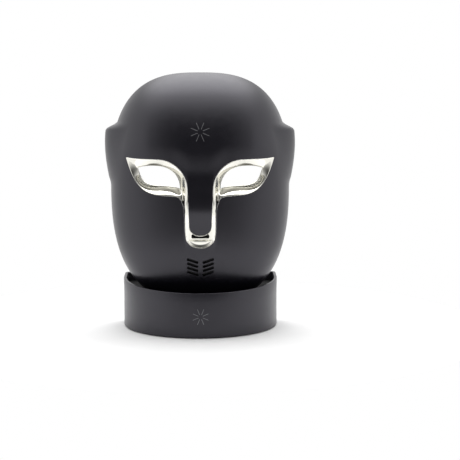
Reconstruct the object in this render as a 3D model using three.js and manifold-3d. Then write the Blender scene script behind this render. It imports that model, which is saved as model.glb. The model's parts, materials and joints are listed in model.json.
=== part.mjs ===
// A rigid LED light-therapy face mask standing in its charging dock, with folding temple arms.
// Millimetres, +Z up. The face looks along -Y and its left-right symmetry plane is X = 0.
// The origin is on the floor under the dock, at the middle of the arc that its front wall follows.
import * as THREE from "three";
import { mergeVertices } from "three/addons/utils/BufferGeometryUtils.js";
import Module from "manifold-3d";

const wasm = await Module();
wasm.setup();

// ---------------------------------------------------------------- driving dimensions

// The mask's outline in the front view is a superellipse round (0, MIDDLE).
const HALF_WIDTH = 93.5;
const MIDDLE = 150;
const RISE = 115;
const DROP = 122;
const CROWN_SQUARENESS = 2.75;
const CHIN_SQUARENESS = 2.6;
// The bulge from that outline to the front of the face.
const FRONT = -72;
const FULLNESS = 2.2;
const CROWN_EDGE = -14;
const CHIN_EDGE = -40;
// Each side has a wing that swells outwards and reaches back over the temple.
const WING_SWELL = 10;
const WING_REACH = 20;
// Depths of the layers inside the outer surface.
const SHELL_WALL = 2.5;
const RIBBON = [4.2, 4.8];
const LED_BOARD = [6.2, 7.4];
const WINDOW = [10.5, 12];
const GAP = 0.3;

const DOCK_HALF_WIDTH = 81;
const DOCK_FRONT = 84;
const DOCK_BACK = 22;
const DOCK_WALL = 3;
const DOCK_FOOT = 0.8;
const DOCK_FRONT_HEIGHT = 45.5;
const DOCK_RIM_SLOPE = 0.07;
const DOCK_CORNER = 4;

const MAT_THICK = 1.4;
const PLATE = [1.7, 4.7];

const HINGE = { x: 83, y: 52.6, z: 190 };
const CONTACT_XS = [-9, -3, 3, 9];
const CONTACT_Y = -35.5;
const CONTACT_Z = 28.5;

// ---------------------------------------------------------------- materials

function paint(color, roughness, metalness = 0) {
  return new THREE.MeshStandardMaterial({ color, roughness, metalness });
}

const charcoal = paint(0x37363b, 0.5);
const chrome = paint(0xf2f0ea, 0.08, 1);
const clearSmoke = paint(0xb9bcc4, 0.1);
const darkFrame = paint(0x232326, 0.6);
const silicone = paint(0x3a3a3e, 0.8);
const greySilicone = paint(0x8d8f94, 0.8);
const boardWhite = paint(0xe8e8e4, 0.5);
const boardGreen = paint(0x1f5a36, 0.5);
const batteryFoil = paint(0xb8bcc0, 0.35, 0.6);
const black = paint(0x101012, 0.7);
const steel = paint(0xb5b5b8, 0.3, 1);
const gold = paint(0xd4a84a, 0.25, 1);
const ribbonAmber = paint(0xb06a22, 0.5);
const glow = paint(0xdfe8f2, 0.3);

// ---------------------------------------------------------------- solids

function flipFaces(index) {
  for (let i = 0; i < index.length; i += 3) {
    [index[i + 1], index[i + 2]] = [index[i + 2], index[i + 1]];
  }
}

// A manifold-3d solid from a closed geometry, whichever way its faces point.
function solid(geometry) {
  const bare = new THREE.BufferGeometry();
  bare.setAttribute("position", geometry.getAttribute("position").clone());
  if (geometry.index) bare.setIndex(geometry.index.clone());
  const merged = mergeVertices(bare, 1e-4);
  const index = [];
  for (let i = 0; i < merged.index.count; i += 3) {
    const [a, b, c] = [0, 1, 2].map((k) => merged.index.getX(i + k));
    if (a !== b && b !== c && a !== c) index.push(a, b, c);
  }
  const vertProperties = merged.attributes.position.array;
  const made = () => new wasm.Manifold(
    new wasm.Mesh({ numProp: 3, vertProperties, triVerts: new Uint32Array(index) }),
  );
  const first = made();
  if (first.volume() > 0) return first;
  flipFaces(index);
  return made();
}

function geometryOf(shape) {
  const mesh = shape.getMesh();
  const points = new Float32Array(mesh.numVert * 3);
  for (let i = 0; i < mesh.numVert; i++) {
    const start = i * mesh.numProp;
    points.set(mesh.vertProperties.subarray(start, start + 3), i * 3);
  }
  const geometry = new THREE.BufferGeometry();
  geometry.setAttribute("position", new THREE.BufferAttribute(points, 3));
  geometry.setIndex(new THREE.BufferAttribute(mesh.triVerts.slice(), 1));
  return geometry;
}

const largest = (shape) => shape.decompose().sort((a, b) => b.volume() - a.volume())[0];
const joined = (...shapes) => shapes.reduce((all, next) => all.add(next));
const without = (shape, ...cuts) => cuts.reduce((left, cut) => left.subtract(cut), shape);

// A box from its lowest and highest corners.
function block(x0, y0, z0, x1, y1, z1) {
  const box = new THREE.BoxGeometry(x1 - x0, y1 - y0, z1 - z0);
  return solid(box.translate((x0 + x1) / 2, (y0 + y1) / 2, (z0 + z1) / 2));
}

// A round bar from one point to another.
function rod(from, to, radius, sides = 10) {
  const [a, b] = [new THREE.Vector3(...from), new THREE.Vector3(...to)];
  const bar = new THREE.CylinderGeometry(radius, radius, a.distanceTo(b), sides);
  const turn = new THREE.Quaternion().setFromUnitVectors(
    new THREE.Vector3(0, 1, 0),
    b.clone().sub(a).normalize(),
  );
  bar.applyQuaternion(turn).translate(...a.add(b).multiplyScalar(0.5).toArray());
  return solid(bar);
}

// A shape drawn in X and Z, given thickness along Y.
function slice(shape, front, back, curveSegments = 8) {
  const options = { depth: back - front, bevelEnabled: false, curveSegments };
  return solid(new THREE.ExtrudeGeometry(shape, options).rotateX(Math.PI / 2).translate(0, back, 0));
}

// A shape drawn in X and Y, standing from one height to another.
function standing(shape, low, high, curveSegments = 20) {
  const options = { depth: high - low, bevelEnabled: false, curveSegments };
  return solid(new THREE.ExtrudeGeometry(shape, options).translate(0, 0, low));
}

// A rectangle with round corners.
function roundedShape(x0, y0, x1, y1, radius) {
  const shape = new THREE.Shape();
  shape.moveTo(x0 + radius, y0);
  shape.absarc(x1 - radius, y0 + radius, radius, -Math.PI / 2, 0);
  shape.absarc(x1 - radius, y1 - radius, radius, 0, Math.PI / 2);
  shape.absarc(x0 + radius, y1 - radius, radius, Math.PI / 2, Math.PI);
  shape.absarc(x0 + radius, y0 + radius, radius, Math.PI, 1.5 * Math.PI);
  return shape;
}

// A closed solid between two grids of points. The columns close on themselves when round is true,
// and a row may shrink to a single point.
function between(outer, inner, round) {
  const rows = outer.length;
  const columns = outer[0].length;
  const points = [...outer.flat(), ...inner.flat()];
  const at = (side, i, j) => side * rows * columns + i * columns + (j % columns);
  const index = [];
  const quad = (a, b, c, d) => index.push(a, b, c, a, c, d);
  const steps = round ? columns : columns - 1;
  for (let i = 0; i < rows - 1; i++) {
    for (let j = 0; j < steps; j++) {
      quad(at(0, i, j), at(0, i + 1, j), at(0, i + 1, j + 1), at(0, i, j + 1));
      quad(at(1, i, j), at(1, i, j + 1), at(1, i + 1, j + 1), at(1, i + 1, j));
    }
  }
  for (let j = 0; j < steps; j++) {
    quad(at(0, 0, j), at(0, 0, j + 1), at(1, 0, j + 1), at(1, 0, j));
    quad(at(0, rows - 1, j + 1), at(0, rows - 1, j), at(1, rows - 1, j), at(1, rows - 1, j + 1));
  }
  for (let i = 0; i < rows - 1 && !round; i++) {
    quad(at(0, i + 1, 0), at(0, i, 0), at(1, i, 0), at(1, i + 1, 0));
    quad(at(0, i, steps), at(0, i + 1, steps), at(1, i + 1, steps), at(1, i, steps));
  }
  const geometry = new THREE.BufferGeometry().setFromPoints(points);
  geometry.setIndex(index);
  return solid(geometry);
}

const grid = (rows, columns, point) => rows.map((r) => columns.map((c) => point(r, c)));
const steps = (from, to, count) => Array.from(
  { length: count + 1 },
  (_, i) => from + ((to - from) * i) / count,
);

// ---------------------------------------------------------------- the face surface

const DEGREE = Math.PI / 180;
const FORWARD = new THREE.Vector3(0, -1, 0);

// Goes smoothly from 0 at start to 1 at end.
function ease(start, end, value) {
  const t = Math.min(1, Math.max(0, (value - start) / (end - start)));
  return t * t * (3 - 2 * t);
}

// The outline's distance from its middle, in the direction turn.
function outlineRadius(turn) {
  const [height, squareness] = Math.sin(turn) > 0 ? [RISE, CROWN_SQUARENESS] : [DROP, CHIN_SQUARENESS];
  const across = Math.abs(Math.cos(turn)) / HALF_WIDTH;
  const up = Math.abs(Math.sin(turn)) / height;
  return (across ** squareness + up ** squareness) ** (-1 / squareness);
}

// How strongly the wing shows at a height, from 0 to 1: it grows upwards and ends in a shoulder.
function wingShare(z) {
  const climb = Math.min(1, Math.max(0, (z - 148) / 57));
  return climb * (1.3 - 0.3 * climb) * ease(146, 158, z) * (1 - ease(206, 214.5, z));
}

// The rear rim's depth where the outline is at height z, without and with the wing.
function plainRim(z) {
  return 24 - 20 * ease(185, MIDDLE + RISE, z) - 52 * ease(140, MIDDLE - DROP, z);
}
const wingedRim = (z) => plainRim(z) + WING_REACH * ease(158, 172, z) * (1 - ease(200, 214, z));

// The brow stands forward a little: the forehead leads out to it, and it falls away above the nose
// and, higher up, above each eye.
function brow(x, z) {
  const arch = 9 * ease(6, 30, Math.abs(x));
  const rise = ease(159 + arch, 184 + arch, z) * (1 - ease(184, 240, z));
  return 4.2 * rise * (1 - ease(50, 88, Math.abs(x)));
}

// How far the face bulges forward, and its depth, a share of the way out to the outline.
function bulge(turn, share) {
  const lift = (outlineRadius(turn) * Math.sin(turn)) / (Math.sin(turn) > 0 ? RISE : DROP);
  const edge = (lift > 0 ? CROWN_EDGE : CHIN_EDGE) * lift * lift;
  const widest = (90 - (lift > 0 ? 20 : 12) * lift * lift) * DEGREE;
  const sine = Math.sin(widest) * share ** (FULLNESS / 2);
  const rounding = 2 / FULLNESS;
  const last = Math.max(0, Math.cos(widest)) ** rounding;
  const height = (Math.sqrt(Math.max(0, 1 - sine * sine)) ** rounding - last) / (1 - last);
  return { edge, depth: edge + (FRONT - edge) * height };
}

// The outer surface's depth where it faces forward, without its wings.
function faceDepth(x, z) {
  const turn = Math.atan2(z - MIDDLE, x);
  const share = Math.min(1, Math.hypot(x, z - MIDDLE) / outlineRadius(turn));
  return bulge(turn, share).depth - brow(x, z);
}

// A point of the outer surface: reach goes from 0 at the middle of the face to 1 at the outline,
// and on to 2 at the rear rim.
function facePoint(turn, reach, rim, winged) {
  const share = Math.sin((Math.min(reach, 1) * Math.PI) / 2);
  const radius = outlineRadius(turn);
  const x = share * radius * Math.cos(turn);
  const z = MIDDLE + share * radius * Math.sin(turn);
  const outlineZ = MIDDLE + radius * Math.sin(turn);
  const { edge, depth } = bulge(turn, share);
  const back = Math.max(0, reach - 1) * (rim(outlineZ) - edge);
  const y = depth + back - brow(x, z);
  const swell = winged ? WING_SWELL * wingShare(z) * ease(-40, -4, y) : 0;
  const taper = 1 - 0.02 * Math.max(0, reach - 1);
  return new THREE.Vector3(x * taper + Math.sign(x) * swell, y, z);
}

// The same point, moved inwards along the surface's normal.
function layerPoint(turn, reach, depth, rim, winged = false) {
  const step = 0.004;
  const low = Math.max(reach - step, 0.002);
  const high = Math.min(reach + step, 2);
  const along = facePoint(turn, high, rim, winged).sub(facePoint(turn, low, rim, winged));
  const round = facePoint(turn + step, Math.max(reach, 0.01), rim, winged)
    .sub(facePoint(turn - step, Math.max(reach, 0.01), rim, winged));
  const normal = along.cross(round).normalize();
  if (reach < 0.01) normal.copy(FORWARD);
  return facePoint(turn, reach, rim, winged).addScaledVector(normal, -depth);
}

// Directions round the outline, closer together across the wings.
function turnsRound() {
  const rightSide = [...steps(-81, 0, 9), 8, 14, 20, 25, 28, 30, 32, 34, 36, 40, ...steps(50, 80, 3)];
  const leftSide = rightSide.map((degrees) => 180 - degrees).reverse();
  return [...rightSide, 90, ...leftSide, 270].map((degrees) => degrees * DEGREE);
}

const TURNS = turnsRound();
const REACHES = [0, 0.2, 0.38, 0.54, 0.68, 0.8, 0.9, 0.97, 1, 1.4, 2];
const FEW_TURNS = steps(0, 345, 23).map((degrees) => degrees * DEGREE);
const FEW_REACHES = [0, 0.25, 0.48, 0.68, 0.84, 0.95, 1, 2];

// The whole layer between two depths.
function layer(shallow, deep, rim, winged = false) {
  const [reaches, turns] = winged ? [REACHES, TURNS] : [FEW_REACHES, FEW_TURNS];
  const surface = (depth) => grid(reaches, turns, (r, t) => layerPoint(t, r, depth, rim, winged));
  return between(surface(shallow), surface(deep), true);
}

// A point behind the front of the face, along the surface's normal there, and that normal.
function behindFace(x, z, depth) {
  const step = 0.5;
  const slopeX = (faceDepth(x + step, z) - faceDepth(x - step, z)) / (2 * step);
  const slopeZ = (faceDepth(x, z + step) - faceDepth(x, z - step)) / (2 * step);
  const normal = new THREE.Vector3(slopeX, -1, slopeZ).normalize();
  const point = new THREE.Vector3(x, faceDepth(x, z), z).addScaledVector(normal, -depth);
  return { point, normal };
}

// ---------------------------------------------------------------- eyes, nose and mouth

const LIP_Z = 88.4;
const BRIDGE_TIP_Z = 102.1;
const EYE_TIP = [75.2, 179.1];

// One side of the trim's outline, from the outer corner of the eye along the top of the eye and
// down beside the nose bridge to its tip, and back under the eye. side is 1 or -1.
function bridgeSide(path, side) {
  const x = (value) => value * side;
  path.bezierCurveTo(x(66), 177.2, x(55), 177.8, x(43), 177.3);
  path.bezierCurveTo(x(28), 177.6, x(13.2), 166, x(12.7), 147);
  path.bezierCurveTo(x(12.2), 135, x(11.4), 122, x(11.3), 112.5);
  path.bezierCurveTo(x(11.2), 105.5, x(6.5), BRIDGE_TIP_Z, 0, BRIDGE_TIP_Z);
}

function cheekSide(path, side) {
  const x = (value) => value * side;
  path.bezierCurveTo(x(5.5), LIP_Z, x(11.4), 90.4, x(14), 96.6);
  path.bezierCurveTo(x(15), 101, x(15.7), 107, x(15.7), 115);
  path.bezierCurveTo(x(15.7), 124, x(16.4), 131, x(18.9), 136.2);
  path.quadraticCurveTo(x(20.2), 139.4, x(23), 140.2);
  path.bezierCurveTo(x(31), 141.8, x(42), 140.5, x(51.5), 144.1);
  path.bezierCurveTo(x(65), 149.5, x(70), 164, x(EYE_TIP[0]), EYE_TIP[1]);
}

// The points of a path that was drawn from the right eye's outer corner, moved sideways by offset.
function outlinePoints(draw, offset = 0) {
  const path = new THREE.Path();
  draw(path);
  const points = path.getPoints(5);
  const gone = points.filter((p, i) => i === 0 || p.distanceTo(points[i - 1]) > 1e-6);
  if (gone[0].distanceTo(gone.at(-1)) < 1e-6) gone.pop();
  const clockwise = THREE.ShapeUtils.isClockWise(gone) ? -1 : 1;
  return gone.map((p, i) => {
    const along = gone[(i + 1) % gone.length].clone().sub(gone.at(i - 1)).normalize();
    return new THREE.Vector2(p.x - along.y * clockwise * offset, p.y + along.x * clockwise * offset);
  });
}

// The right half is drawn, then the left half is its mirror image.
function trimOutline(offset) {
  const right = outlinePoints((path) => {
    path.moveTo(0, LIP_Z);
    cheekSide(path, 1);
    bridgeSide(path, 1);
    path.lineTo(0, LIP_Z);
  }, offset).filter((p) => p.x > 0.4);
  const left = right.map((p) => new THREE.Vector2(-p.x, p.y)).reverse();
  return new THREE.Shape([...right, new THREE.Vector2(0, BRIDGE_TIP_Z - offset), ...left,
    new THREE.Vector2(0, LIP_Z + offset)]);
}

// The opening that the wearer looks through. side is 1 or -1.
function eyeHole(offset, side) {
  const points = outlinePoints((path) => {
    path.moveTo(62.5, 168.5);
    path.bezierCurveTo(60.5, 160, 58, 152.6, 45, 151.4);
    path.bezierCurveTo(36, 150.8, 28, 151.6, 20.4, 148.4);
    path.bezierCurveTo(20, 158, 27, 169.4, 42, 170.6);
    path.bezierCurveTo(50, 171.2, 57, 170.6, 62.5, 168.5);
  }, offset);
  return points.map((p) => new THREE.Vector2(p.x * side, p.y));
}

// How far the nose bridge stands forward of the face at height z.
const bridgeRise = (z) => 10.5 * (1 - ease(126, 168, z)) * ease(86, 134, z);

// The raised nose keeps its full height across the bridge and the trim's strips, then falls away.
const SHOULDER = [14.8, 18];
const TRIM_COLUMNS = [80, 68, 54, 40, 27, 18, 15.9, 14.8, 6, 0];
const BRIDGE_COLUMNS = [18, 14.8, 8, 4, 0];
const BRIDGE_ROWS = [84, 88, 94, 99, 103, 108, 115, 124, 134, 145, 157, 170, 184];

// The slab that the trim and the nose bridge are cut from. Its front is raised along the nose, and
// its back follows that rise by the share followBehind.
function noseSlab(shallow, deep, followBehind, halfColumns) {
  const columns = [...halfColumns.map((x) => -x), ...halfColumns.slice(0, -1).reverse()];
  const rise = (x, z) => bridgeRise(z) * (1 - ease(...SHOULDER, Math.abs(x)));
  const surface = (depth, follow) => grid(BRIDGE_ROWS, columns, (z, x) => {
    return new THREE.Vector3(x, faceDepth(x, z) + depth - follow * rise(x, z), z);
  });
  return between(surface(shallow, 1), surface(deep, followBehind), false);
}

// The funnel from the trim's edge down to the eye hole, as a cutter.
function eyeFunnel(side) {
  const ring = (points, depth) => points.map((p) => {
    return new THREE.Vector3(p.x, faceDepth(p.x, p.y) + depth, p.y);
  });
  const middle = (depth) => {
    const centre = new THREE.Vector3(41 * side, faceDepth(41 * side, 161) + depth, 161);
    return eyeHole(0, side).map(() => centre);
  };
  const rings = [
    middle(-9), ring(eyeHole(-7, side), -6), ring(eyeHole(-4.5, side), -0.6),
    ring(eyeHole(0, side), 5), ring(eyeHole(0, side), 16), middle(16),
  ];
  const columns = rings[0].length;
  const geometry = new THREE.BufferGeometry().setFromPoints(rings.flat());
  const index = [];
  for (let i = 0; i < rings.length - 1; i++) {
    for (let j = 0; j < columns; j++) {
      const [a, b] = [i * columns + j, i * columns + ((j + 1) % columns)];
      index.push(a, b, b + columns, a, b + columns, a + columns);
    }
  }
  geometry.setIndex(index);
  return solid(geometry);
}

// Four slanting breathing slots on one side of the mouth. side is 1 or -1.
const SLOT = { halfLength: 5.9, halfWidth: 1.4, slant: 19 * DEGREE, x: 7.85, top: 75.6, pitch: 4.3 };
const SLOT_ROWS = 4;

function mouthSlots(side) {
  const shape = roundedShape(-SLOT.halfLength, -SLOT.halfWidth, SLOT.halfLength, SLOT.halfWidth, 1.2);
  const options = { depth: 40, bevelEnabled: false, curveSegments: 1 };
  return Array.from({ length: SLOT_ROWS }, (_, row) => solid(
    new THREE.ExtrudeGeometry(shape, options)
      .rotateZ(side * SLOT.slant).rotateX(Math.PI / 2)
      .translate(side * SLOT.x, -40, SLOT.top - SLOT.pitch * row),
  ));
}

// ---------------------------------------------------------------- the mask's pieces

// Where the power button and the status light come through the right wing.
const BUTTON = { x: 99.2, y: 24, z: 190, radius: 5, flange: 6 };
const LIGHT = { x: 99.4, y: 12, z: 190, radius: 1.2 };
const BOSS_TURNS = [0, 180, 78, 102, -72, -108];
const EYE_CUP_BACK = 22;

const trimCutter = (offset) => slice(trimOutline(offset), -110, -20);

// The six places round the rim where a screw holds the rear frame to the shell.
function screwBosses() {
  return BOSS_TURNS.map((degrees) => {
    const turn = degrees * DEGREE;
    const from = layerPoint(turn, 1.45, 6.4, plainRim);
    const rimY = wingedRim(MIDDLE + outlineRadius(turn) * Math.sin(turn));
    return { from, to: new THREE.Vector3(from.x, rimY, from.z) };
  });
}

function frontShell() {
  const skin = layer(0, SHELL_WALL, wingedRim, true);
  const slots = [...mouthSlots(1), ...mouthSlots(-1)];
  const bridge = noseSlab(0, SHELL_WALL, 1, BRIDGE_COLUMNS).intersect(noseZone(12.2, 168));
  const bosses = screwBosses().map(({ from, to }) => {
    return rod(from.toArray(), [to.x, to.y - 4.2, to.z], 2.8, 10);
  });
  const bossBores = screwBosses().map(({ from, to }) => {
    return rod([from.x, from.y + 1.5, from.z], [to.x, to.y + 1, to.z], 1.5, 8);
  });
  const hole = ({ y, z, radius }, sides) => rod([85, y, z], [110, y, z], radius + GAP, sides);
  const contactPocket = block(-15.4, -39.8, 20, 15.4, -31.2, 33);
  const bridged = joined(without(skin, noseZone(12, 160)), without(bridge, trimCutter(0)), ...bosses);
  const holes = [hole(BUTTON, 16), hole(LIGHT, 8)];
  return largest(without(bridged, trimCutter(0), ...slots, ...bossBores, ...holes, contactPocket));
}

// The part of the face that the raised nose bridge replaces: narrow between the trim's strips and
// wide at the root of the nose, up to the height top.
function noseZone(halfWidth, top) {
  const right = [[halfWidth, 101], [halfWidth, 146], [18, 150], [18, top]];
  const left = right.map(([x, z]) => [-x, z]).reverse();
  return slice(new THREE.Shape([...right, ...left].map((p) => new THREE.Vector2(...p))), -110, -20);
}

function eyeNoseTrim() {
  const band = noseSlab(-0.6, 7.5, 0, TRIM_COLUMNS).intersect(trimCutter(GAP));
  const scoop = solid(new THREE.SphereGeometry(1, 16, 10).scale(11, 5, 3.6).translate(0, -72.5, 93.4));
  return without(band, eyeFunnel(1), eyeFunnel(-1), nostrilSlit(), scoop);
}

// The slit under the tip of the nose, which turns up at both ends.
function nostrilSlit() {
  const shape = new THREE.Shape();
  shape.moveTo(-8.2, 99.4);
  shape.lineTo(8.2, 99.4);
  shape.quadraticCurveTo(8.9, 99.6, 8.9, 100.6);
  shape.quadraticCurveTo(9, 103, 7.4, 103.6);
  shape.quadraticCurveTo(4.5, 101, 0, 101);
  shape.quadraticCurveTo(-4.5, 101, -7.4, 103.6);
  shape.quadraticCurveTo(-9, 103, -8.9, 100.6);
  shape.quadraticCurveTo(-8.9, 99.6, -8.2, 99.4);
  return slice(shape, -110, -20, 3);
}

// A ring that follows the rear rim, at a depth inside the outer surface and a distance in front.
function rimRing(depth, ahead, winged = false) {
  return TURNS.map((turn) => {
    const rimY = wingedRim(MIDDLE + outlineRadius(turn) * Math.sin(turn));
    const edge = layerPoint(turn, 2, depth, wingedRim, winged);
    return new THREE.Vector3(edge.x, rimY - ahead, edge.z);
  });
}

function innerWindow() {
  const rim = (z) => plainRim(z) - 3;
  const sheet = layer(WINDOW[0], WINDOW[1], rim);
  const mouth = slice(roundedShape(-18, 61, 18, 84, 6), -110, -20, 4);
  const nose = slice(new THREE.Shape(
    [[-17, 90], [17, 90], [15, 168], [-15, 168]].map((p) => new THREE.Vector2(...p)),
  ), -110, -20);
  const eyes = [1, -1].map((side) => slice(new THREE.Shape(eyeHole(-4.4, side)), -110, 0));
  const frameZone = between(
    [rimRing(4, 3.8), rimRing(4, -20)],
    [rimRing(20, 3.8), rimRing(20, -20)],
    true,
  );
  return largest(without(sheet, mouth, nose, ...eyes, frameZone));
}

// The frame that joins the shell and the window along the rear rim, and closes the wings.
function rearFrame() {
  const outside = [rimRing(SHELL_WALL + GAP, 3, true), rimRing(SHELL_WALL + GAP, 0.2, true)];
  const inside = [rimRing(12.4, 3), rimRing(12.4, 0.2)];
  const bores = screwBosses().map(({ to }) => rod([to.x, to.y - 6, to.z], [to.x, to.y + 1, to.z], 1.5, 8));
  const seats = screwBosses().map(({ to }) => rod([to.x, to.y - 1.3, to.z], [to.x, to.y + 3, to.z], 2.7, 10));
  return without(between(outside, inside, true), ...bores, ...seats);
}

// The inner wall of a wing, from the window's edge back to the frame. side is 1 or -1.
function wingCover(side) {
  const beside = (turn) => Math.cos(turn) * side > 0 && Math.sin(turn) > 0.15 && Math.sin(turn) < 0.5;
  const turns = TURNS.filter(beside);
  const wall = (depth) => grid([0, 1], turns, (back, turn) => {
    const outlineZ = MIDDLE + outlineRadius(turn) * Math.sin(turn);
    const edge = layerPoint(turn, 2, depth, plainRim);
    edge.y = back ? wingedRim(outlineZ) - 5 : plainRim(outlineZ) - 2;
    return edge;
  });
  return between(wall(WINDOW[0]), wall(WINDOW[1]), false);
}

// A flexible board behind the window, with its LEDs standing on the side that faces the skin.
function ledBoard(shape, columns, rows) {
  const sheet = layer(LED_BOARD[0], LED_BOARD[1], (z) => plainRim(z) - 4);
  const board = sheet.intersect(slice(shape, -110, -5, 3));
  const leds = columns.flatMap((x) => rows.map((z) => {
    const { point, normal } = behindFace(x, z, LED_BOARD[1] + 0.5);
    const turn = new THREE.Quaternion().setFromUnitVectors(FORWARD, normal);
    return solid(new THREE.BoxGeometry(3, 1.6, 3).applyQuaternion(turn).translate(...point.toArray()));
  }));
  return joined(board, ...leds);
}

// The soft cup round an eye hole that keeps stray light out. side is 1 or -1.
function eyeCup(side) {
  const ring = (offset, depth) => eyeHole(offset, side).map((p) => {
    return new THREE.Vector3(p.x, faceDepth(p.x, p.y) + depth, p.y);
  });
  const outside = [ring(-3, 9.4), ring(-3.4, 16), ring(-5, EYE_CUP_BACK)];
  const inside = [ring(-1.2, 9.4), ring(-1.6, 16), ring(-3, EYE_CUP_BACK)];
  return between(outside, inside, true);
}

// A shape drawn in X and Z, as a plate that follows the face between two depths.
function plateBehindFace(shape, shallow, deep, columns, rows) {
  const surface = (depth) => grid(rows, columns, (z, x) => behindFace(x, z, depth).point);
  return between(surface(shallow), surface(deep), false).intersect(slice(shape, -110, 20, 2));
}

function ventInsert() {
  const plate = roundedShape(-16.4, 57, 16.4, 83, 4);
  return plateBehindFace(plate, 3.5, 4.9, steps(-18, 18, 6), steps(55, 85, 5));
}

// A dark plate behind the slit under the nose, so that breath passes round it and no light does.
function noseBaffle() {
  return plateBehindFace(roundedShape(-12, 92, 12, 108, 3), 8.4, 9.8, steps(-14, 14, 6), [90, 96, 103, 110]);
}

function foreheadRest() {
  const pad = roundedShape(-38, 214, 38, 232, 8);
  return plateBehindFace(pad, 13.6, 19.5, steps(-40, 40, 10), [210, 218, 226, 234]);
}

function noseRest() {
  const saddle = new THREE.Shape();
  saddle.moveTo(-13, 134);
  saddle.lineTo(-9, 162);
  saddle.lineTo(9, 162);
  saddle.lineTo(13, 134);
  saddle.lineTo(8, 134);
  saddle.quadraticCurveTo(0, 160, -8, 134);
  return plateBehindFace(saddle, 12.6, 19, steps(-15, 15, 6), [130, 142, 154, 166]);
}

function ribbonCable() {
  const turns = steps(32, 148, 18).map((degrees) => degrees * DEGREE);
  const surface = (depth) => grid([0.56, 0.6, 0.64], turns, (reach, turn) => {
    return layerPoint(turn, reach, depth, plainRim);
  });
  return between(surface(RIBBON[0]), surface(RIBBON[1]), false);
}

// The board stands in the right wing, with the switch that the power button presses.
function controlBoard() {
  const x = BUTTON.x - 9;
  const board = block(x - 1.6, 2, 175, x, 36, 197);
  const chips = [
    block(x - 3.4, 8, 179, x - 1.5, 17, 188),
    block(x - 3.4, 22, 189, x - 1.5, 28, 195),
    block(x - 3.2, 29, 178, x - 1.5, 33, 184),
  ];
  const { y, z } = BUTTON;
  const buttonSwitch = block(x - 0.1, y - 3.5, z - 3.5, x + 2, y + 3.5, z + 3.5);
  return joined(board, ...chips, buttonSwitch);
}

function contactBlock() {
  const body = block(-15, -39.4, 28.4, 15, -31.6, 32.4);
  return without(body, ...CONTACT_XS.map((x) => rod([x, CONTACT_Y, 27], [x, CONTACT_Y, 29.6], 2.2)));
}

const contactPad = (x) => rod([x, CONTACT_Y, CONTACT_Z], [x, CONTACT_Y, CONTACT_Z + 0.8], 1.9);

function frameScrew({ from, to }) {
  const head = rod([to.x, to.y - 1, to.z], [to.x, to.y - 0.1, to.z], 2.3, 12);
  const shank = rod([to.x, from.y + 2.5, to.z], [to.x, to.y - 0.9, to.z], 1.1, 8);
  return joined(head, shank);
}

function powerButton() {
  const { x, y, z, radius, flange } = BUTTON;
  return joined(rod([x - 5.1, y, z], [x, y, z], radius, 16), rod([x - 6, y, z], [x - 5, y, z], flange, 16));
}

function statusLight() {
  const { x, y, z, radius } = LIGHT;
  return rod([x - 8.2, y, z], [x, y, z], radius, 8);
}

// ---------------------------------------------------------------- temple arms

// The clevis that a temple arm turns in, on the back of the wing. side is 1 or -1.
function hingeBracket(side) {
  const [x, y, z] = [HINGE.x, HINGE.y, HINGE.z];
  const plate = block(x - 5, 44.1, z - 10, x + 9, 47.9, z + 10);
  const ear = (low) => joined(
    block(x - 3.8, 47, low, x + 3.8, y, low + 3.2),
    rod([x, y, low], [x, y, low + 3.2], 3.8),
  );
  const shape = without(
    joined(plate, ear(z - 8.5), ear(z + 5.3)),
    rod([x, y, z - 12], [x, y, z + 12], 1.6),
  );
  return side > 0 ? shape : shape.mirror([1, 0, 0]);
}

function hingePin(side) {
  const x = HINGE.x * side;
  const shank = rod([x, HINGE.y, HINGE.z - 9], [x, HINGE.y, HINGE.z + 9], 1.2);
  return joined(shank, rod([x, HINGE.y, HINGE.z + 8.8], [x, HINGE.y, HINGE.z + 9.8], 2.2));
}

// The arm's outline seen from the side, drawn with Y across and Z up.
function armShape() {
  const shape = new THREE.Shape();
  shape.moveTo(HINGE.y + 3, HINGE.z - 4.7);
  shape.lineTo(HINGE.y + 3, HINGE.z + 4.7);
  shape.bezierCurveTo(72, 194.6, 82, 194.4, 92, 193.6);
  shape.lineTo(92, 186.6);
  shape.bezierCurveTo(82, 186.2, 72, 185.6, HINGE.y + 3, HINGE.z - 4.7);
  return shape;
}

// The tip hooks down behind the ear.
function tipShape() {
  const shape = new THREE.Shape();
  shape.moveTo(92.4, 194.9);
  shape.bezierCurveTo(104, 194.2, 116, 188, 119.5, 170);
  shape.bezierCurveTo(120.3, 165, 113.2, 163.6, 111.4, 168.4);
  shape.bezierCurveTo(109, 178, 103, 184.6, 92.4, 185.4);
  return shape;
}

// A shape drawn in Y and Z, given thickness along X.
function sideways(shape, x0, x1) {
  const options = { depth: x1 - x0, bevelEnabled: false, curveSegments: 5 };
  const drawn = new THREE.ExtrudeGeometry(shape, options).rotateX(Math.PI / 2).rotateZ(Math.PI / 2);
  return solid(drawn.translate(x0, 0, 0));
}

function templeArm(side) {
  const blade = sideways(armShape(), HINGE.x - 2, HINGE.x + 2);
  const tang = block(HINGE.x - 1, 91, 187.8, HINGE.x + 1, 103, 191.8);
  const knuckle = rod([HINGE.x, HINGE.y, HINGE.z - 5], [HINGE.x, HINGE.y, HINGE.z + 5], 4.1, 16);
  const neck = block(HINGE.x - 2, HINGE.y, HINGE.z - 4.7, HINGE.x + 2, HINGE.y + 4, HINGE.z + 4.7);
  const bore = rod([HINGE.x, HINGE.y, HINGE.z - 12], [HINGE.x, HINGE.y, HINGE.z + 12], 1.6);
  const shape = without(joined(blade, tang, knuckle, neck), bore);
  return side > 0 ? shape : shape.mirror([1, 0, 0]);
}

function earTip(side) {
  const hook = sideways(tipShape(), HINGE.x - 3, HINGE.x + 3);
  const socket = block(HINGE.x - 1.3, 90, 187.5, HINGE.x + 1.3, 103.4, 192.1);
  const shape = without(hook, socket);
  return side > 0 ? shape : shape.mirror([1, 0, 0]);
}

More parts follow.
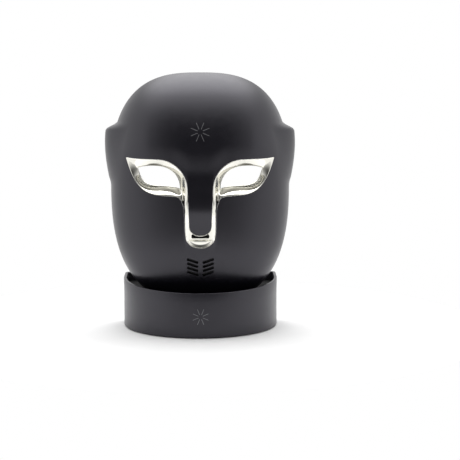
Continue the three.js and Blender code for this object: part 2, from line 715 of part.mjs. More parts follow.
// ---------------------------------------------------------------- the dock's pieces

// Further out than any part of the object.
const BEYOND = 120;

// The dock's plan, drawn in from its outer face by inset: an arc in front, and a flat back.
function dockPlan(inset) {
  const [a, b] = [DOCK_HALF_WIDTH - inset, DOCK_FRONT - inset];
  const back = DOCK_BACK - inset;
  const corner = Math.max(1, DOCK_CORNER - inset);
  const arc = (x, y, rx, ry, from, to, count) => steps(from, to, count).map((degrees) => {
    return new THREE.Vector2(x + rx * Math.cos(degrees * DEGREE), y + ry * Math.sin(degrees * DEGREE));
  });
  return new THREE.Shape([
    ...arc(0, 0, a, b, 180, 360, 32),
    ...arc(a - corner, back - corner, corner, corner, 0, 90, 4),
    ...arc(corner - a, back - corner, corner, corner, 90, 180, 4),
  ]);
}

// Everything above a plane that falls towards the front, parallel to the dock's rim.
function aboveRim(lower) {
  const cutter = new THREE.BoxGeometry(2 * BEYOND, 2 * BEYOND, 100);
  cutter.translate(0, 0, 50);
  cutter.rotateX(Math.atan(DOCK_RIM_SLOPE));
  return solid(cutter.translate(0, -DOCK_FRONT, DOCK_FRONT_HEIGHT - lower));
}

// The space that the mask fills, with a margin all round: its outer surface, closed behind by a fan.
function maskBody(margin) {
  const surface = grid(REACHES, TURNS, (r, t) => layerPoint(t, r, -margin, plainRim));
  const columns = TURNS.length;
  const centre = surface.length * columns;
  const index = [];
  for (let i = 0; i < surface.length; i++) {
    for (let j = 0; j < columns; j++) {
      const [a, b] = [i * columns + j, i * columns + ((j + 1) % columns)];
      if (i < surface.length - 1) index.push(a, b, b + columns, a, b + columns, a + columns);
      else index.push(a, b, centre);
    }
  }
  const points = [...surface.flat(), new THREE.Vector3(0, 10, MIDDLE)];
  const geometry = new THREE.BufferGeometry().setFromPoints(points);
  geometry.setIndex(index);
  return solid(geometry);
}

const INLET = { halfWidth: 4.5, z: 11.5, wall: 0.5 };

function dockHousing() {
  const wall = without(
    standing(dockPlan(0), DOCK_FOOT, 70),
    standing(dockPlan(DOCK_WALL), -1, 80),
    aboveRim(0),
  );
  const { halfWidth, z } = INLET;
  return without(wall, block(-halfWidth - 0.5, 15, z - 1.9, halfWidth + 0.5, 30, z + 1.9));
}

const DOCK_SCREWS = [[-56, -26], [56, -26], [-62, 10], [62, 10]];

function dockBasePlate() {
  const plate = standing(dockPlan(DOCK_WALL + GAP), PLATE[0], PLATE[1]);
  const posts = [[-29, -43], [29, -43], [-29, -19], [29, -19]];
  const supports = posts.map(([x, y]) => rod([x, y, 4.5], [x, y, 13.7], 2.2, 8));
  const bores = DOCK_SCREWS.map(([x, y]) => rod([x, y, 0], [x, y, 10], 1.7, 8));
  const heads = DOCK_SCREWS.map(([x, y]) => rod([x, y, 0], [x, y, 3.6], 3.4));
  return without(joined(plate, ...supports), ...bores, ...heads);
}

function dockCradle() {
  const deck = without(standing(dockPlan(DOCK_WALL + GAP), 22, 70), aboveRim(9));
  const hollow = without(standing(dockPlan(DOCK_WALL + 2.5), 10, 70), aboveRim(12), maskBody(5.4));
  const bosses = DOCK_SCREWS.map(([x, y]) => rod([x, y, 5], [x, y, 41], 3.6));
  const bores = DOCK_SCREWS.map(([x, y]) => rod([x, y, 0], [x, y, 19], 1.5, 8));
  const pinWindow = block(-16.6, -42.6, 10, 16.6, -28.4, 40);
  return largest(without(joined(without(deck, hollow), ...bosses), maskBody(2.6), ...bores, pinWindow));
}

function cradleLiner() {
  const skin = without(maskBody(2.2), maskBody(0.7));
  const bowl = skin.intersect(block(-BEYOND, -BEYOND, 20, BEYOND, -30.6, 37));
  return without(bowl, block(-16.9, -43, 10, 16.9, -28, 40));
}

function dockScrew([x, y]) {
  return joined(rod([x, y, 1.8], [x, y, 3.3], 3), rod([x, y, 3.2], [x, y, 17], 1.2, 8));
}

function pinBlock() {
  const body = joined(block(-15, -40, 16.2, 15, -31, 25.2), block(-15.8, -41.4, 16.2, 15.8, -29.6, 18.4));
  return without(body, ...CONTACT_XS.map((x) => rod([x, CONTACT_Y, 10], [x, CONTACT_Y, 30], 1.45)));
}

const contactPin = (x) => joined(
  rod([x, CONTACT_Y, 18], [x, CONTACT_Y, 27.6], 1.1, 8),
  rod([x, CONTACT_Y, 27.5], [x, CONTACT_Y, CONTACT_Z - GAP], 0.7, 8),
);

function chargeBoard() {
  const board = block(-32, -46, 14, 32, -16, 15.6);
  const parts = [
    block(-26, -26, 15.5, -16, -19, 18.6),
    block(14, -25, 15.5, 20, -19, 17.6),
    block(2, -24, 15.5, 9, -18, 17),
  ];
  return joined(board, ...parts);
}

// A round-ended metal can with a contact tongue in its mouth, which opens at the dock's back.
function powerInlet() {
  const { halfWidth, z, wall } = INLET;
  const opening = DOCK_BACK - GAP;
  const can = roundedShape(-halfWidth, z - 1.6, halfWidth, z + 1.6, 1.5);
  const mouth = roundedShape(wall - halfWidth, z - 1.6 + wall, halfWidth - wall, z + 1.6 - wall, 1.05);
  return joined(
    without(slice(can, opening - 9, opening, 2), slice(mouth, opening - 5.7, opening + 1, 2)),
    block(-3, opening - 7.2, z - 0.3, 3, opening - 0.9, z + 0.4),
  );
}

// ---------------------------------------------------------------- assembly

const group = new THREE.Group();

function add(name, shape, material) {
  const mesh = new THREE.Mesh(geometryOf(shape), material);
  mesh.name = name;
  group.add(mesh);
}

add("dock_housing", dockHousing(), charcoal);
add("dock_base_plate", dockBasePlate(), darkFrame);
add("dock_foot_mat", standing(dockPlan(5), 0, MAT_THICK), silicone);
add("dock_ballast", block(-56, -13, 5, 56, 12.2, 12.5), steel);
add("dock_cradle", dockCradle(), darkFrame);
add("dock_cradle_liner", cradleLiner(), silicone);
add("dock_charge_board", chargeBoard(), boardGreen);
add("dock_pin_block", pinBlock(), black);
add("dock_power_inlet", powerInlet(), steel);
DOCK_SCREWS.forEach((place, i) => add(`dock_screw_${i + 1}`, dockScrew(place), steel));
CONTACT_XS.forEach((x, i) => add(`charging_pin_${i + 1}`, contactPin(x), gold));

add("front_shell", frontShell(), charcoal);
add("eye_nose_trim", eyeNoseTrim(), chrome);
add("inner_window", innerWindow(), clearSmoke);
add("rear_frame", rearFrame(), darkFrame);
add("vent_insert", ventInsert(), black);
add("nose_baffle", noseBaffle(), black);
add("led_ribbon_cable", ribbonCable(), ribbonAmber);
add("forehead_rest", foreheadRest(), greySilicone);
add("nose_rest", noseRest(), greySilicone);
add("control_board", controlBoard(), boardGreen);
add("battery_pack", block(-93, 6, 174, -87, 35, 197), batteryFoil);
add("buzzer", rod([-86.4, 23, 187], [-83.6, 23, 187], 5), black);
add("status_light", statusLight(), glow);
add("contact_block", contactBlock(), black);
CONTACT_XS.forEach((x, i) => add(`contact_pad_${i + 1}`, contactPad(x), gold));
screwBosses().forEach((place, i) => add(`frame_screw_${i + 1}`, frameScrew(place), steel));

const FOREHEAD_LEDS = [steps(-50, 50, 4), [196, 213, 230]];
const CHEEK_LEDS = [steps(31, 67, 2), [87, 105, 123]];
const CHIN_LEDS = [steps(-24, 24, 3), [50]];
add("led_board_forehead", ledBoard(roundedShape(-62, 187, 62, 240, 14), ...FOREHEAD_LEDS), boardWhite);
add("led_board_chin", ledBoard(roundedShape(-33, 41.5, 33, 58.5, 8), ...CHIN_LEDS), boardWhite);

for (const [side, word] of [[1, "right"], [-1, "left"]]) {
  const cheek = side > 0 ? roundedShape(22, 78, 76, 133, 14) : roundedShape(-76, 78, -22, 133, 14);
  const columns = CHEEK_LEDS[0].map((x) => x * side);
  add(`led_board_${word}_cheek`, ledBoard(cheek, columns, CHEEK_LEDS[1]), boardWhite);
  add(`${word}_eye_cup`, eyeCup(side), greySilicone);
  add(`${word}_wing_cover`, wingCover(side), darkFrame);
  add(`${word}_hinge_bracket`, hingeBracket(side), steel);
  add(`${word}_hinge_pin`, hingePin(side), steel);
  add(`${word}_temple_arm`, templeArm(side), charcoal);
  add(`${word}_ear_tip`, earTip(side), silicone);
}

add("power_button", powerButton(), charcoal);

export default group;
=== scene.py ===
"""Looks for a rigid LED face mask that stands in its charging dock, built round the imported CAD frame.

The face, the trim's outline and the dock's plan are the same formulas as in the CAD part, in the same
frame, worked out much more finely. Everything is written in millimetres until make() turns it into metres.
"""

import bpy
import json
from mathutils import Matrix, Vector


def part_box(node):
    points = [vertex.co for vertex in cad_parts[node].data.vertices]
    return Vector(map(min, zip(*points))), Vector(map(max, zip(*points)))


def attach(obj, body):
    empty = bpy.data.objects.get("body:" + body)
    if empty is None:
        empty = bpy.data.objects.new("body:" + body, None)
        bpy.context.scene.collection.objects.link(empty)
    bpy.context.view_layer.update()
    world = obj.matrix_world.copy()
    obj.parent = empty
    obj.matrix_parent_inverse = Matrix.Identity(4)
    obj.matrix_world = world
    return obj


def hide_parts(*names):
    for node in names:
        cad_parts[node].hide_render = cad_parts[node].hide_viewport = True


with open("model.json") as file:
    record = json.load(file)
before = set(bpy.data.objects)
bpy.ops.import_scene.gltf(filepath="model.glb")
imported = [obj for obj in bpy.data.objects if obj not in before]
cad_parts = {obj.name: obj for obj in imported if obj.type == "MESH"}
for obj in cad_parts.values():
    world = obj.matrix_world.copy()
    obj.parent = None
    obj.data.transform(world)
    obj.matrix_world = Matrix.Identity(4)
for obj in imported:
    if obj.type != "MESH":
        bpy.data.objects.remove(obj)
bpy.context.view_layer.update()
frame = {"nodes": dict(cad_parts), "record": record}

import json
import math

import bpy
import numpy as np
from mathutils import Vector
from mathutils.bvhtree import BVHTree
from mathutils.geometry import delaunay_2d_cdt

# ---------------------------------------------------------------- driving dimensions, in millimetres

MM = 0.001
HALF_WIDTH = 93.5
MIDDLE = 150
RISE = 115
DROP = 122
CROWN_SQUARENESS = 2.75
CHIN_SQUARENESS = 2.6
FRONT = -72
FULLNESS = 2.2
CROWN_EDGE = -14
CHIN_EDGE = -40
WING_SWELL = 10
WING_REACH = 20
SHELL_WALL = 2.5
LED_BOARD = (6.2, 7.4)
WINDOW = (10.5, 12)

DOCK_HALF_WIDTH = 81
DOCK_FRONT = 84
DOCK_BACK = 22
DOCK_WALL = 3
DOCK_FOOT = 0.8
DOCK_FRONT_HEIGHT = 45.5
DOCK_RIM_SLOPE = 0.07
DOCK_CORNER = 4

HINGE = (83, 52.6, 190)
# Further forward than any part of the mask, and how far back its larger openings are cut.
AHEAD = -110
CUT_BACK = -20

BUTTON = (24, 190)
BUTTON_FACE = 99.2
BUTTON_HOLE = 5.3
LIGHT = (12, 190)
LIGHT_HOLE = 1.5

FOREHEAD_MARK = {"centre_z": 204.7, "radius": 9.9}
DOCK_MARK = {"centre_z": 22, "radius": 8.3}

# ---------------------------------------------------------------- the face surface


def ease(start, end, value):
    """Goes smoothly from 0 at start to 1 at end."""
    t = np.clip((value - start) / (end - start), 0, 1)
    return t * t * (3 - 2 * t)


def outline_radius(turn):
    """The mask outline's distance from its middle, in the direction turn."""
    above = np.sin(turn) > 0
    height = np.where(above, RISE, DROP)
    squareness = np.where(above, CROWN_SQUARENESS, CHIN_SQUARENESS)
    across = np.abs(np.cos(turn)) / HALF_WIDTH
    up = np.abs(np.sin(turn)) / height
    return (across**squareness + up**squareness) ** (-1 / squareness)


def wing_share(z):
    """How strongly the wing shows at a height: it grows upwards and ends in a shoulder."""
    climb = np.clip((z - 148) / 57, 0, 1)
    return climb * (1.3 - 0.3 * climb) * ease(146, 158, z) * (1 - ease(206, 214.5, z))


def plain_rim(z):
    """The rear rim's depth where the outline is at height z, without the wing."""
    return 24 - 20 * ease(185, MIDDLE + RISE, z) - 52 * ease(140, MIDDLE - DROP, z)


def winged_rim(z):
    return plain_rim(z) + WING_REACH * ease(158, 172, z) * (1 - ease(200, 214, z))


def brow(x, z):
    """How far the brow stands forward: the forehead leads out to it, and it falls away over nose and eyes."""
    arch = 9 * ease(6, 30, np.abs(x))
    return 4.2 * ease(159 + arch, 184 + arch, z) * (1 - ease(184, 240, z)) * (1 - ease(50, 88, np.abs(x)))


def bridge_rise(z):
    """How far the nose bridge stands forward of the face at height z."""
    return 10.5 * (1 - ease(126, 168, z)) * ease(86, 134, z)


def bridge(x, z):
    return bridge_rise(z) * (1 - ease(12.5, 16.5, np.abs(x)))


def bulge(turn, share):
    """The outline's depth, and the face's depth a share of the way out to it."""
    sine_up = np.sin(turn)
    lift = outline_radius(turn) * sine_up / np.where(sine_up > 0, RISE, DROP)
    edge = np.where(lift > 0, CROWN_EDGE, CHIN_EDGE) * lift**2
    widest = np.radians(90 - np.where(lift > 0, 20, 12) * lift**2)
    sine = np.sin(widest) * share ** (FULLNESS / 2)
    rounding = 2 / FULLNESS
    last = np.maximum(0, np.cos(widest)) ** rounding
    height = (np.sqrt(np.maximum(0, 1 - sine**2)) ** rounding - last) / (1 - last)
    return edge, edge + (FRONT - edge) * height


def face_depth(x, z):
    """The outer surface's depth where it faces forward."""
    turn = np.arctan2(z - MIDDLE, x)
    share = np.minimum(1, np.hypot(x, z - MIDDLE) / outline_radius(turn))
    return bulge(turn, share)[1] - brow(x, z)


def front_normal(x, z, step):
    """The outward normal of the front of the face."""
    slope_x = (face_depth(x + step, z) - face_depth(x - step, z)) / (2 * step)
    slope_z = (face_depth(x, z + step) - face_depth(x, z - step)) / (2 * step)
    return unit(np.stack([slope_x, -np.ones_like(slope_x), slope_z], -1))


def face_point(turn, reach, rim, winged, bridged):
    """A point of the outer surface: reach is 0 at the middle of the face, 1 at the outline, 2 at the rim."""
    share = np.sin(np.minimum(reach, 1) * math.pi / 2)
    radius = outline_radius(turn)
    x = share * radius * np.cos(turn)
    z = MIDDLE + share * radius * np.sin(turn)
    edge, depth = bulge(turn, share)
    back = np.maximum(0, reach - 1) * (rim(MIDDLE + radius * np.sin(turn)) - edge)
    y = depth + back - brow(x, z)
    if bridged:
        y = y - bridge(x, z)
    swell = WING_SWELL * wing_share(z) * ease(-40, -4, y) if winged else 0
    taper = 1 - 0.02 * np.maximum(0, reach - 1)
    return np.stack([x * taper + np.sign(x) * swell, y, z + 0 * x], -1)


def unit(vectors):
    return vectors / np.maximum(np.linalg.norm(vectors, axis=-1, keepdims=True), 1e-12)


def face_normal(turn, reach, rim, winged, bridged):
    """The outward normal at face_point."""
    step = 0.004
    low = np.maximum(reach - step, 0.002)
    high = np.minimum(reach + step, 2)
    middle = np.maximum(reach, 0.01)
    along = face_point(turn, high, rim, winged, bridged) - face_point(turn, low, rim, winged, bridged)
    around = (face_point(turn + step, middle, rim, winged, bridged)
              - face_point(turn - step, middle, rim, winged, bridged))
    return unit(np.cross(along, around))


def layer_point(turn, reach, depth, rim=plain_rim, winged=False, bridged=False):
    """The face point moved inwards along its normal."""
    point = face_point(turn, reach, rim, winged, bridged)
    return point - face_normal(turn, reach, rim, winged, bridged) * np.asarray(depth)[..., None]


# ---------------------------------------------------------------- outlines

def bezier(start, *controls, count=24):
    """Points along a Bezier curve, without its last one."""
    points = np.array([start, *controls], float)
    t = np.linspace(0, 1, count, endpoint=False)[:, None]
    degree = len(points) - 1
    return sum(math.comb(degree, i) * (1 - t) ** (degree - i) * t**i * p for i, p in enumerate(points))


def chain(start, *curves, count=24):
    """Bezier curves joined end to end. Each one is given as its controls and its end."""
    pieces = []
    for curve in curves:
        pieces.append(bezier(start, *curve, count=count))
        start = curve[-1]
    return np.concatenate([*pieces, np.array([start], float)])


LIP_Z = 88.4
BRIDGE_TIP_Z = 102.1
EYE_TIP = (75.2, 179.1)
CHEEK_SIDE = chain(
    (0, LIP_Z),
    ((5.5, LIP_Z), (11.4, 90.4), (14, 96.6)),
    ((15, 101), (15.7, 107), (15.7, 115)),
    ((15.7, 124), (16.4, 131), (18.9, 136.2)),
    ((20.2, 139.4), (23, 140.2)),
    ((31, 141.8), (42, 140.5), (51.5, 144.1)),
    ((65, 149.5), (70, 164), EYE_TIP),
)
BRIDGE_SIDE = chain(
    EYE_TIP,
    ((66, 177.2), (55, 177.8), (43, 177.3)),
    ((28, 177.6), (13.2, 166), (12.7, 147)),
    ((12.2, 135), (11.4, 122), (11.3, 112.5)),
    ((11.2, 105.5), (6.5, BRIDGE_TIP_Z), (0, BRIDGE_TIP_Z)),
)
EYE_HOLE = chain(
    (62.5, 168.5),
    ((60.5, 160), (58, 152.6), (45, 151.4)),
    ((36, 150.8), (28, 151.6), (20.4, 148.4)),
    ((20, 158), (27, 169.4), (42, 170.6)),
    ((50, 171.2), (57, 170.6), (62.5, 168.5)),
)[:-1]


def evened(points, spacing):
    """A closed outline resampled at an even spacing."""
    closed = np.vstack([points, points[:1]])
    lengths = np.linalg.norm(np.diff(closed, axis=0), axis=1)
    along = np.concatenate([[0], np.cumsum(lengths)])
    count = int(round(along[-1] / spacing))
    marks = np.linspace(0, along[-1], count, endpoint=False)
    return np.stack([np.interp(marks, along, closed[:, k]) for k in (0, 1)], -1)


def mirrored(points):
    return (points * (-1, 1))[::-1]


def counterclockwise(points):
    x, z = points.T
    area = np.sum(x * np.roll(z, -1) - z * np.roll(x, -1))
    return points if area > 0 else points[::-1]


def grown(points, distance):
    """A closed counterclockwise outline moved outwards, with its crossings left out."""
    along = unit(np.roll(points, -1, 0) - np.roll(points, 1, 0))
    outward = np.stack([along[:, 1], -along[:, 0]], -1)
    moved = points + outward * distance
    if distance == 0:
        return moved
    clear = distance_to(points, moved) > abs(distance) * 0.98
    return moved[clear]


def distance_to(outline, points):
    """Each point's distance from a closed outline."""
    a = outline
    b = np.roll(outline, -1, 0)
    best = np.full(len(points), 1e9)
    for start in range(0, len(points), 2000):
        p = points[start:start + 2000, None, :]
        edge = b - a
        t = np.clip(((p - a) * edge).sum(-1) / np.maximum((edge * edge).sum(-1), 1e-12), 0, 1)
        best[start:start + 2000] = np.linalg.norm(p - a - t[..., None] * edge, axis=-1).min(1)
    return best


def inside(outline, points):
    """Whether each point is inside a closed outline."""
    x, z = points[:, :1], points[:, 1:]
    x0, z0 = outline.T
    x1, z1 = np.roll(outline, -1, 0).T
    crosses = (z0 > z) != (z1 > z)
    at = x0 + (z - z0) * (x1 - x0) / np.where(z1 == z0, 1e-12, z1 - z0)
    return ((crosses & (x < at)).sum(1) % 2) == 1


def rounded_box(x0, z0, x1, z1, radius, count=8):
    corners = [(x1 - radius, z0 + radius, -90), (x1 - radius, z1 - radius, 0),
               (x0 + radius, z1 - radius, 90), (x0 + radius, z0 + radius, 180)]
    points = []
    for x, z, first in corners:
        for degrees in np.linspace(first, first + 90, count):
            turn = math.radians(degrees)
            points.append((x + radius * math.cos(turn), z + radius * math.sin(turn)))
    return np.array(points)


RIGHT_TRIM = np.vstack([CHEEK_SIDE[1:-1], BRIDGE_SIDE[:-1]])
TRIM_OUTLINE = counterclockwise(np.vstack([
    [(0, LIP_Z)], RIGHT_TRIM, [(0, BRIDGE_TIP_Z)], mirrored(RIGHT_TRIM),
]))
EYE_HOLES = [counterclockwise(EYE_HOLE), counterclockwise(mirrored(EYE_HOLE))]
SLIT_LOW = (0, 99.4)
SLIT_HIGH = (0, 101)
NOSTRIL_SIDE = chain(
    SLIT_LOW,
    ((4, 99.4), (8.2, 99.4)),
    ((8.9, 99.6), (8.9, 100.6)),
    ((9, 103), (7.4, 103.6)),
    ((4.5, 101), SLIT_HIGH),
    count=8,
)[1:-1]
NOSTRIL_SLIT = np.vstack([[SLIT_LOW], NOSTRIL_SIDE, [SLIT_HIGH], mirrored(NOSTRIL_SIDE)])

# ---------------------------------------------------------------- meshes


def make(name, points, faces):
    """A smooth-shaded mesh object from points in millimetres."""
    mesh = bpy.data.meshes.new(name)
    mesh.from_pydata((np.asarray(points) * MM).tolist(), [], [list(map(int, f)) for f in faces])
    mesh.validate()
    mesh.polygons.foreach_set("use_smooth", [True] * len(mesh.polygons))
    piece = bpy.data.objects.new(name, mesh)
    bpy.context.scene.collection.objects.link(piece)
    return piece


def grid_faces(rows, columns, round_rows=False, first=0):
    """Quads between the points of a grid whose rows are closed rings."""
    def at(i, j):
        return first + (i % rows) * columns + j % columns

    faces = []
    for i in range(rows if round_rows else rows - 1):
        for j in range(columns):
            faces.append((at(i, j), at(i, j + 1), at(i + 1, j + 1), at(i + 1, j)))
    return faces


def tube(name, rings):
    """A closed ring of material: each ring of points is one line of its profile."""
    rows, columns = len(rings), len(rings[0])
    return outward(make(name, np.concatenate(rings), grid_faces(rows, columns, round_rows=True)))


def lofted(name, rings):
    """A closed body through rings of points, with a flat cap at each end."""
    rows, columns = len(rings), len(rings[0])
    caps = [list(range(columns))[::-1], list(range((rows - 1) * columns, rows * columns))]
    return outward(make(name, np.concatenate(rings), grid_faces(rows, columns) + caps))


def outward(piece):
    """Turns the faces of a closed mesh outwards."""
    mesh = piece.data
    mesh.calc_loop_triangles()
    co = np.array([v.co for v in mesh.vertices])
    a, b, c = (co[[t.vertices[k] for t in mesh.loop_triangles]] for k in range(3))
    if np.einsum("ij,ij->i", a, np.cross(b, c)).sum() < 0:
        mesh.flip_normals()
    return piece


def prism(name, outline, low, high, axis="y"):
    """A closed outline given thickness. It is drawn in X and Z for axis y, Y and Z for x, X and Y for z."""
    place = {
        "y": lambda p, h: (p[0], h, p[1]),
        "x": lambda p, h: (h, p[0], p[1]),
        "z": lambda p, h: (p[0], p[1], h),
    }[axis]
    return lofted(name, [np.array([place(p, h) for p in outline]) for h in (low, high)])


def turned(name, profile, centre, axis="x", count=48):
    """A lathe shape: profile is (distance along the axis, radius), starting and ending on the axis."""
    angles = np.linspace(0, 2 * math.pi, count, endpoint=False)
    rings = []
    for along, radius in profile:
        across = [radius * np.cos(angles), radius * np.sin(angles)]
        level = np.full(count, float(along))
        order = {"x": (level, *across), "y": (across[0], level, across[1]), "z": (*across, level)}[axis]
        rings.append(np.stack(order, -1) + np.array(centre))
    return lofted(name, rings)


def bar(name, low, high, radius, centre, axis, count=48):
    """A round bar along an axis, between two places on it."""
    return turned(name, [(low, 0.001), (low, radius), (high, radius), (high, 0.001)], centre, axis, count)


def combine(piece, other, operation="DIFFERENCE"):
    """Cuts other out of piece, or joins or intersects them, and removes other."""
    change = piece.modifiers.new("combine", "BOOLEAN")
    change.operation = operation
    change.solver = "MANIFOLD"
    change.object = other
    apply_modifiers(piece)
    bpy.data.objects.remove(other)
    return piece


def merged(cutters):
    """Several cutters that don't meet, as one."""
    points, faces, first = [], [], 0
    for cutter in cutters:
        mesh = cutter.data
        points += [v.co / MM for v in mesh.vertices]
        faces += [[first + v for v in p.vertices] for p in mesh.polygons]
        first += len(mesh.vertices)
        bpy.data.objects.remove(cutter)
    return make("cutters", points, faces)


def apply_modifiers(piece):
    bpy.context.view_layer.update()
    evaluated = piece.evaluated_get(bpy.context.evaluated_depsgraph_get())
    mesh = bpy.data.meshes.new_from_object(evaluated)
    piece.modifiers.clear()
    piece.data = mesh


def softened(piece, width, segments=3, angle=35):
    """Rounds a piece's sharp edges, with a width in millimetres."""
    bevel = piece.modifiers.new("edge", "BEVEL")
    bevel.width = width * MM
    bevel.segments = segments
    bevel.angle_limit = math.radians(angle)
    bevel.harden_normals = True
    return piece


def creased(piece, angle=32):
    """Smooth shading, except across edges sharper than angle."""
    piece.data.shade_smooth()
    piece.data.set_sharp_from_angle(angle=math.radians(angle))
    return piece


# How near a surface a point lies on it, in metres.
NEAR = 0.00003


def keep_normals(piece, surface):
    """Gives the faces of piece that lie on surface the smooth normals of surface, given as a grid."""
    points, faces, normals = surface
    tree = BVHTree.FromPolygons((points * MM).tolist(), faces)
    mesh = piece.data
    count = len(mesh.vertices)
    found = np.zeros((count, 3))
    near = np.zeros(count, bool)
    for vertex in mesh.vertices:
        place, _, index, _ = tree.find_nearest(vertex.co, NEAR)
        if place is None:
            continue
        corners = np.array(faces[index])
        gaps = np.linalg.norm(points[corners] * MM - np.array(place), axis=1) + 1e-9
        found[vertex.index] = (normals[corners] / gaps[:, None] ** 2).sum(0)
        near[vertex.index] = True
    found = unit(found)
    flat = np.array([p.normal for p in mesh.polygons])
    loops = np.zeros((len(mesh.loops), 3))
    for polygon in mesh.polygons:
        for loop in polygon.loop_indices:
            vertex = mesh.loops[loop].vertex_index
            same = near[vertex] and found[vertex] @ flat[polygon.index] > 0.8
            loops[loop] = found[vertex] if same else flat[polygon.index]
    mesh.normals_split_custom_set(loops.tolist())
    return piece


def show(piece, body, slot, materials, *replaced):
    """Puts a finished piece in the object, with one material or a tuple of them."""
    piece.data.materials.clear()
    for material in materials if isinstance(materials, tuple) else (materials,):
        piece.data.materials.append(material)
    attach(piece, body)
    if replaced:
        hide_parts(*replaced)
    return piece


# ---------------------------------------------------------------- materials


def node(tree, kind, **settings):
    """A shader node with its settings, and its inputs' values by name with _ for a space."""
    made = tree.nodes.new(kind)
    for name, value in settings.items():
        if hasattr(made, name):
            setattr(made, name, value)
        else:
            made.inputs[name.replace("_", " ")].default_value = value
    return made


def finish(name, colour, roughness, metallic=0.0, grain=2600.0, bump=0.12, depth=0.00002, mottle=0.08,
           streak=(1, 1, 1), rough_spread=0.05, **sockets):
    """A moulded or plated finish: colour that varies a little, uneven gloss and a fine grain."""
    material = bpy.data.materials.new(name)
    material.use_nodes = True
    tree = material.node_tree
    link = tree.links.new
    shader = tree.nodes["Principled BSDF"]
    shader.inputs["Metallic"].default_value = metallic
    for socket, value in sockets.items():
        shader.inputs[socket.replace("_", " ")].default_value = value
    place = node(tree, "ShaderNodeTexCoord")
    stretch = node(tree, "ShaderNodeMapping", Scale=streak)
    link(place.outputs["Object"], stretch.inputs["Vector"])

    broad = node(tree, "ShaderNodeTexNoise", Scale=42.0, Detail=4.0)
    link(stretch.outputs["Vector"], broad.inputs["Vector"])
    tint = node(tree, "ShaderNodeValToRGB")
    low, high = tint.color_ramp.elements
    low.position, high.position = 0.3, 0.7
    low.color = (*[c * (1 - mottle) for c in colour], 1)
    high.color = (*[min(1, c * (1 + mottle)) for c in colour], 1)
    link(broad.outputs["Fac"], tint.inputs["Fac"])
    link(tint.outputs["Color"], shader.inputs["Base Color"])

    gloss = node(tree, "ShaderNodeTexNoise", Scale=150.0, Detail=3.0)
    link(stretch.outputs["Vector"], gloss.inputs["Vector"])
    spread = node(tree, "ShaderNodeMapRange", From_Min=0.35, From_Max=0.65,
                  To_Min=max(0.02, roughness - rough_spread), To_Max=roughness + rough_spread)
    link(gloss.outputs["Fac"], spread.inputs["Value"])
    link(spread.outputs["Result"], shader.inputs["Roughness"])

    fine = node(tree, "ShaderNodeTexNoise", Scale=grain, Detail=2.0)
    link(stretch.outputs["Vector"], fine.inputs["Vector"])
    relief = node(tree, "ShaderNodeBump", Strength=bump, Distance=depth)
    link(fine.outputs["Fac"], relief.inputs["Height"])
    link(relief.outputs["Normal"], shader.inputs["Normal"])
    return material


COOL_GLOSS = {"IOR": 1.63, "Specular_Tint": (0.93, 0.91, 1.0, 1.0)}
charcoal = finish("satin_charcoal", (0.0035, 0.0030, 0.0062), 0.33, grain=3800, bump=0.1, mottle=0.06,
                  rough_spread=0.015, **COOL_GLOSS)
arm_charcoal = finish("satin_charcoal_arms", (0.0045, 0.0040, 0.0070), 0.38, grain=3000, **COOL_GLOSS)
chrome = finish("bright_chrome", (0.90, 0.885, 0.815), 0.07, metallic=1.0, grain=900, bump=0.015,
                mottle=0.015, rough_spread=0.02)
window_clear = finish("clear_window", (0.55, 0.57, 0.60), 0.09, grain=1200, bump=0.02, mottle=0.03,
                      rough_spread=0.02, Alpha=0.2)
dark_plastic = finish("textured_dark_plastic", (0.012, 0.012, 0.013), 0.55, grain=2200, bump=0.3,
                      depth=0.00004)
# The deck's near-black colour is painted shade: it is darker than the other black plastics so that the inside
# of the dock looks like a shadowed recess.
deck_plastic_painted_shade = finish("matt_deck_plastic_painted_shade", (0.003, 0.003, 0.0035), 0.85, grain=2200, bump=0.3, IOR=1.3)
black_plastic = finish("matt_black_plastic", (0.006, 0.006, 0.007), 0.62, grain=2600, bump=0.25)
pale_silicone = finish("pale_silicone", (0.62, 0.62, 0.60), 0.6, grain=1700, bump=0.2, depth=0.00003)
dark_silicone = finish("dark_silicone", (0.022, 0.022, 0.024), 0.72, grain=1700, bump=0.2, depth=0.00003)
grey_silicone = finish("grey_silicone", (0.22, 0.225, 0.235), 0.68, grain=1700, bump=0.2, depth=0.00003)
ribbon_film = finish("amber_film", (0.32, 0.13, 0.03), 0.35, streak=(1, 1, 6), mottle=0.2)
board_green = finish("green_solder_mask", (0.012, 0.075, 0.03), 0.3, grain=900, bump=0.2, mottle=0.15)
board_white = finish("white_solder_mask", (0.60, 0.61, 0.60), 0.35, grain=900, bump=0.1, mottle=0.03)
led_body = finish("led_package", (0.80, 0.79, 0.74), 0.4, grain=3000)
led_lens = finish("led_lens", (0.80, 0.50, 0.04), 0.12, grain=900, bump=0.02, Coat_Weight=0.6)
foil = finish("battery_foil", (0.55, 0.56, 0.58), 0.3, metallic=0.8, grain=500, bump=0.35, depth=0.00006)
steel = finish("zinc_plated_steel", (0.40, 0.40, 0.42), 0.32, metallic=1.0, grain=1800, bump=0.03,
               mottle=0.04, rough_spread=0.02)
gold = finish("gold_plating", (0.85, 0.60, 0.22), 0.2, metallic=1.0, grain=1800, bump=0.05)
light_pipe = finish("light_pipe", (0.75, 0.82, 0.86), 0.18, grain=1200, bump=0.05, Coat_Weight=0.5)
mark_ink = finish("grey_mark_ink", (0.17, 0.17, 0.18), 0.45, grain=2600, bump=0.15)

BY_SLOT = {
    "charcoal_shell": charcoal, "bright_chrome": chrome, "clear_window": window_clear,
    "dark_plastic": dark_plastic, "black_plastic": black_plastic, "ribbon": ribbon_film,
    "grey_silicone": grey_silicone, "dark_silicone": dark_silicone, "circuit_board": board_green,
    "led_board": board_white, "battery_foil": foil, "light_pipe": light_pipe, "steel": steel, "gold": gold,
}

# ---------------------------------------------------------------- the mask's shell

